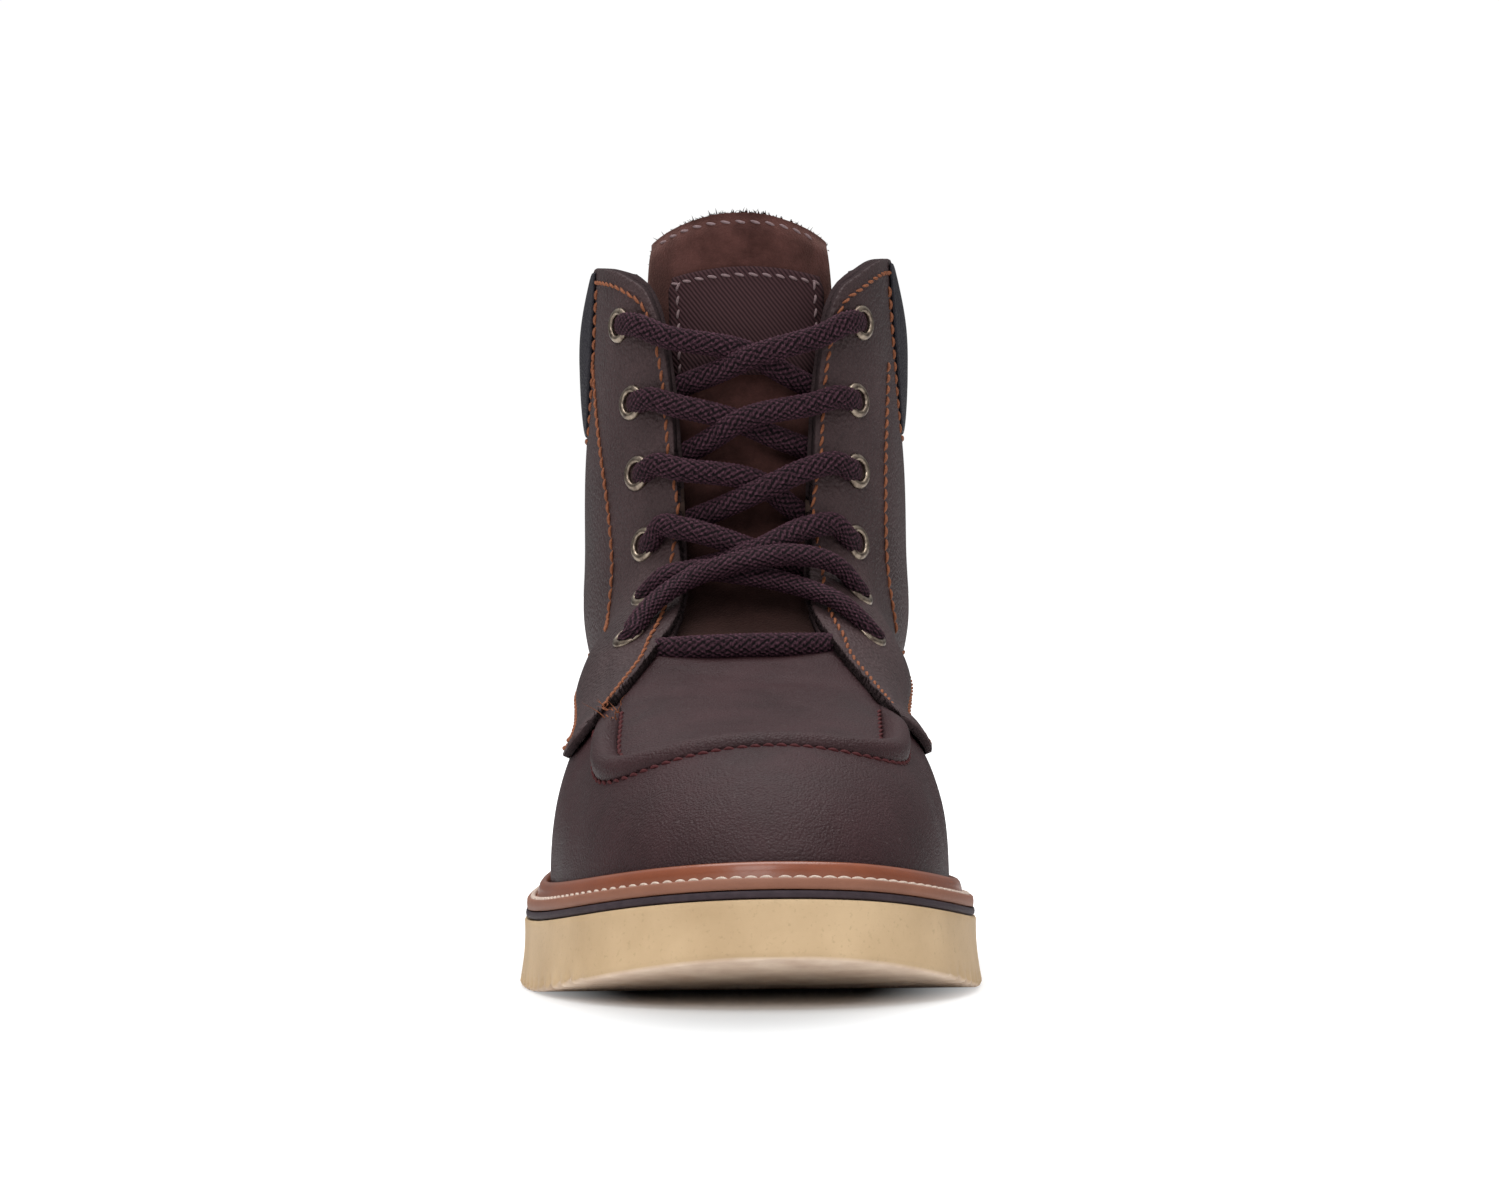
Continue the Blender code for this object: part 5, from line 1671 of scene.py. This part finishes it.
def braided_cord():
    """Dark plum cord with paler flecks, and painted shade darkening the gaps between the crowns of its yarns.
    """
    material, tree, shader, place = start_material("braided_cord", Roughness=0.8, Specular_IOR_Level=0.13)
    crown = add_node(tree, "ShaderNodeAttribute", attribute_name="crown").outputs["Fac"]
    fleck = noise_at(tree, place, 1900.0, 2.0)
    flecked = spread_range(tree, fleck, 0.0, 1.0, 0.35, 0.65)
    yarn = mix_colour(tree, flecked, (0.024, 0.0090, 0.0142), (0.104, 0.044, 0.064))
    # Painted shade: where the braid's crown is low, between the yarns, the colour goes nearly black
    lit = spread_range(tree, crown, 0.0, 1.0, 0.40, 0.86)
    set_inputs(
        shader,
        Base_Color=mix_colour(tree, lit, (0.0035, 0.0016, 0.0024), yarn),
        Normal=bump_from(tree, fleck, 0.35, 0.0003),
    )
    return material


# Each crossing has the point where its cords cross, the height at which each leaves its facing, and how far a
# cord bows up beside its eyelet
CROSSINGS = table(
    "x height low_left low_right bow",
    (0.0032, 0.1608, 0.1525, 0.1525, 0.0006),
    (-0.0013, 0.1433, 0.1345, 0.1358, 0.0014),
    (0.0060, 0.1258, 0.1165, 0.1180, 0.0026),
    (0.0026, 0.1090, 0.1035, 0.1040, 0.0050),
)
OVER_LIFT, UNDER_LIFT = 0.0046, 0.0006
strands = []
for number, (cross_x, cross_z, low_left, low_right, bow) in enumerate(zip(*CROSSINGS.values())):
    eye_z = EYELETS["height"][number]
    gap = gap_at(eye_z)
    for side, low, cross_lift in ((1.0, low_left, OVER_LIFT), (-1.0, low_right, UNDER_LIFT)):
        eye_x = EYELETS[side_name(side)][number]
        strands.append([
            (-side * (gap_at(low) + 0.004), low - 0.002, -0.0042),
            (-side * (gap_at(low) - 0.0015), low + 0.0004, -0.0030),
            (0.5 * cross_x - 0.45 * side * gap_at(low), 0.5 * (low + cross_z), 0.5 * (cross_lift - 0.0030)),
            (cross_x, cross_z, cross_lift),
            (side * (gap + 0.0005), 0.42 * cross_z + 0.58 * eye_z + bow, ON_FACE + 0.0006),
            (side * (0.45 * gap + 0.55 * eye_x), 0.12 * cross_z + 0.88 * eye_z + bow, ON_FACE + 0.0006),
            (side * (eye_x - 0.0022), eye_z + 0.25 * bow, QUARTER_FACE + 0.0012),
            (side * (eye_x - 0.0002), eye_z, -0.0010),
            (side * (eye_x + 0.0004), eye_z, -0.0038),
        ])
lowest_left = [
    (-0.0305, 0.0870, BEHIND),
    (-0.0297, 0.0885, QUARTER_FACE + 0.0015),
    (-0.0262, 0.0934, ON_FACE + 0.0008),
    (-0.0158, 0.1013, 0.0062),
    (-0.0013, 0.1062, 0.0085),
    (0.0132, 0.1078, 0.0080),
    (0.0250, 0.1042, ON_FACE + 0.0010),
    (0.0290, 0.1000, IN_HOLE),
    (0.0298, 0.0980, BEHIND),
]
lowest_right = [
    (-0.0262, 0.0980, BEHIND),
    (-0.0254, 0.0995, IN_HOLE),
    (-0.0216, 0.1024, ON_FACE + 0.0005),
    (-0.0131, 0.1040, 0.0030),
    (-0.0013, 0.1030, 0.0040),
    (0.0131, 0.0998, 0.0042),
    (0.0255, 0.0946, ON_FACE + 0.0007),
    (0.0316, 0.0890, IN_HOLE),
    (0.0325, 0.0870, BEHIND),
]
bar = [
    (-0.0275, 0.0838, -0.0040),
    (-0.0220, 0.0836, 0.0004),
    (-0.0100, 0.0842, 0.0022),
    (0.0000, 0.0845, 0.0024),
    (0.0100, 0.0845, 0.0022),
    (0.0205, 0.0844, 0.0006),
    (0.0262, 0.0844, -0.0040),
]
BAR_FACING = (0.0, -0.96, 0.28)
tubes = [cord_tube(rows) for rows in (*strands, lowest_left, lowest_right)] + [cord_tube(bar, BAR_FACING)]
points, quads = [], []
for tube, _ in tubes:
    quads.append(grid_quads(len(tube), LACE_SIDES, wrap=True, first=sum(len(p) for p in points)))
    points.append(tube.reshape(-1, 3))
lace = link_mesh("lace", to_world(np.concatenate(points)), np.concatenate(quads), [braided_cord()])
mark_points(lace, "crown", np.concatenate([crown.ravel() for _, crown in tubes]))
put_on(lace, "lace_cord", *[f"lace_cross_{number}" for number in range(1, 6)], "lace_bar")


# Fuzz
# Loose fibres stand along the tongue's top and the raw edges of the flaps and facings.
# A few ends of seam thread hang loose on the lateral flap.

HAIR_TURN = np.radians([0.0, 120.0, 240.0])
HAIR_TAPER = np.array([1.0, 0.8, 0.5, 0.08])


def fibres(name, roots, normals, run, length, radius, seed, material, slot_name):
    """Tapered three-sided hairs: each bends from its root's normal towards its own random lean."""
    draw = np.random.default_rng(seed)
    count = len(roots)
    size = length * draw.uniform(0.35, 1.0, count)[:, None, None]
    lean = draw.normal(0.0, 0.55, (count, 3)) + 0.5 * np.array(run) * draw.normal(0.0, 1.0, (count, 1))
    t = np.linspace(0.0, 1.0, len(HAIR_TAPER))[None, :, None]
    spine = roots[:, None] + size * (t * normals[:, None] + t**2 * lean[:, None])
    ring = np.stack([np.cos(HAIR_TURN), np.sin(HAIR_TURN), 0.4 * np.sin(HAIR_TURN + 1.0)], axis=1)
    points = spine[:, :, None] + radius * HAIR_TAPER[None, :, None, None] * ring[None, None]
    hair = grid_quads(len(HAIR_TAPER), len(HAIR_TURN), wrap=True)
    quads = copies_of(hair, count, len(HAIR_TAPER) * len(HAIR_TURN))
    put_on(link_mesh(name, to_world(points.reshape(-1, 3)), quads, [material]), slot_name)


TONGUE_HAIRS = 420
dark_fuzz = raw_edge("dark_fuzz", (0.012, 0.0045, 0.0040), (0.040, 0.0160, 0.0140))
draw = np.random.default_rng(7)
share = np.clip(1.05 * draw.uniform(-1.0, 1.0, TONGUE_HAIRS), -1.0, 1.0)
below = np.where(np.abs(share) > 0.995, draw.uniform(0.0, 0.006, TONGUE_HAIRS), 0.0003)
roots = tongue_face(tongue_top(share) - below, share)
roots -= outward(roots) * draw.uniform(0.0028, 0.0042, TONGUE_HAIRS)[:, None]
upward = np.stack([0.5 * share**3, np.zeros(TONGUE_HAIRS), 1.0 - 0.5 * np.abs(share)], axis=1)
fibres("tongue_fuzz", roots, upward, (1.0, 0.0, 0.0), 0.0011, 0.00030, 11, dark_fuzz, "tongue_suede")

FACING_HAIRS, TIP_HAIRS, FLAP_HAIRS = 700, 60, 160
FACING_COLUMNS, TIP_COLUMNS = 72, 5
frayed_edge = raw_edge("frayed_edge", (0.006, 0.004, 0.005), (0.034, 0.021, 0.021))
roots, normals = [], []
for side in (-1.0, 1.0):
    base = quarter_grids[side]
    pick = np.concatenate([
        draw.integers(0, FACING_COLUMNS, FACING_HAIRS),
        draw.integers(0, TIP_COLUMNS, TIP_HAIRS),
    ])
    high = draw.uniform(0.0003, 0.0023, len(pick))
    edges = [(base[-1, pick], base[-4, pick], high)]
    pick = draw.integers(0, QUARTER_ROWS, FLAP_HAIRS)
    high = draw.uniform(0.0002, 0.0024, len(pick))
    edges.append((base[pick, 0], base[pick, 4], high))
    for edge, inner, high in edges:
        roots.append(edge + outward(edge) * high[:, None])
        normals.append(unit(edge - inner))
roots, normals = np.concatenate(roots), np.concatenate(normals)
fibres("quarter_fuzz", roots, normals, (0.0, 0.0, 1.0), 0.0013, 0.00022, 5, frayed_edge, "upper_leather")

LOOSE_ENDS = 16
spot_x = draw.uniform(-0.0365, -0.0315, LOOSE_ENDS)
spot_z = draw.uniform(0.0665, 0.0705, LOOSE_ENDS)
roots = from_front(spot_x, spot_z, 0.0020)
fibres("loose_thread", roots, outward(roots), (1.0, 0.0, 0.3), 0.0042, 0.00022, 3, orange_thread, "lace_cord")
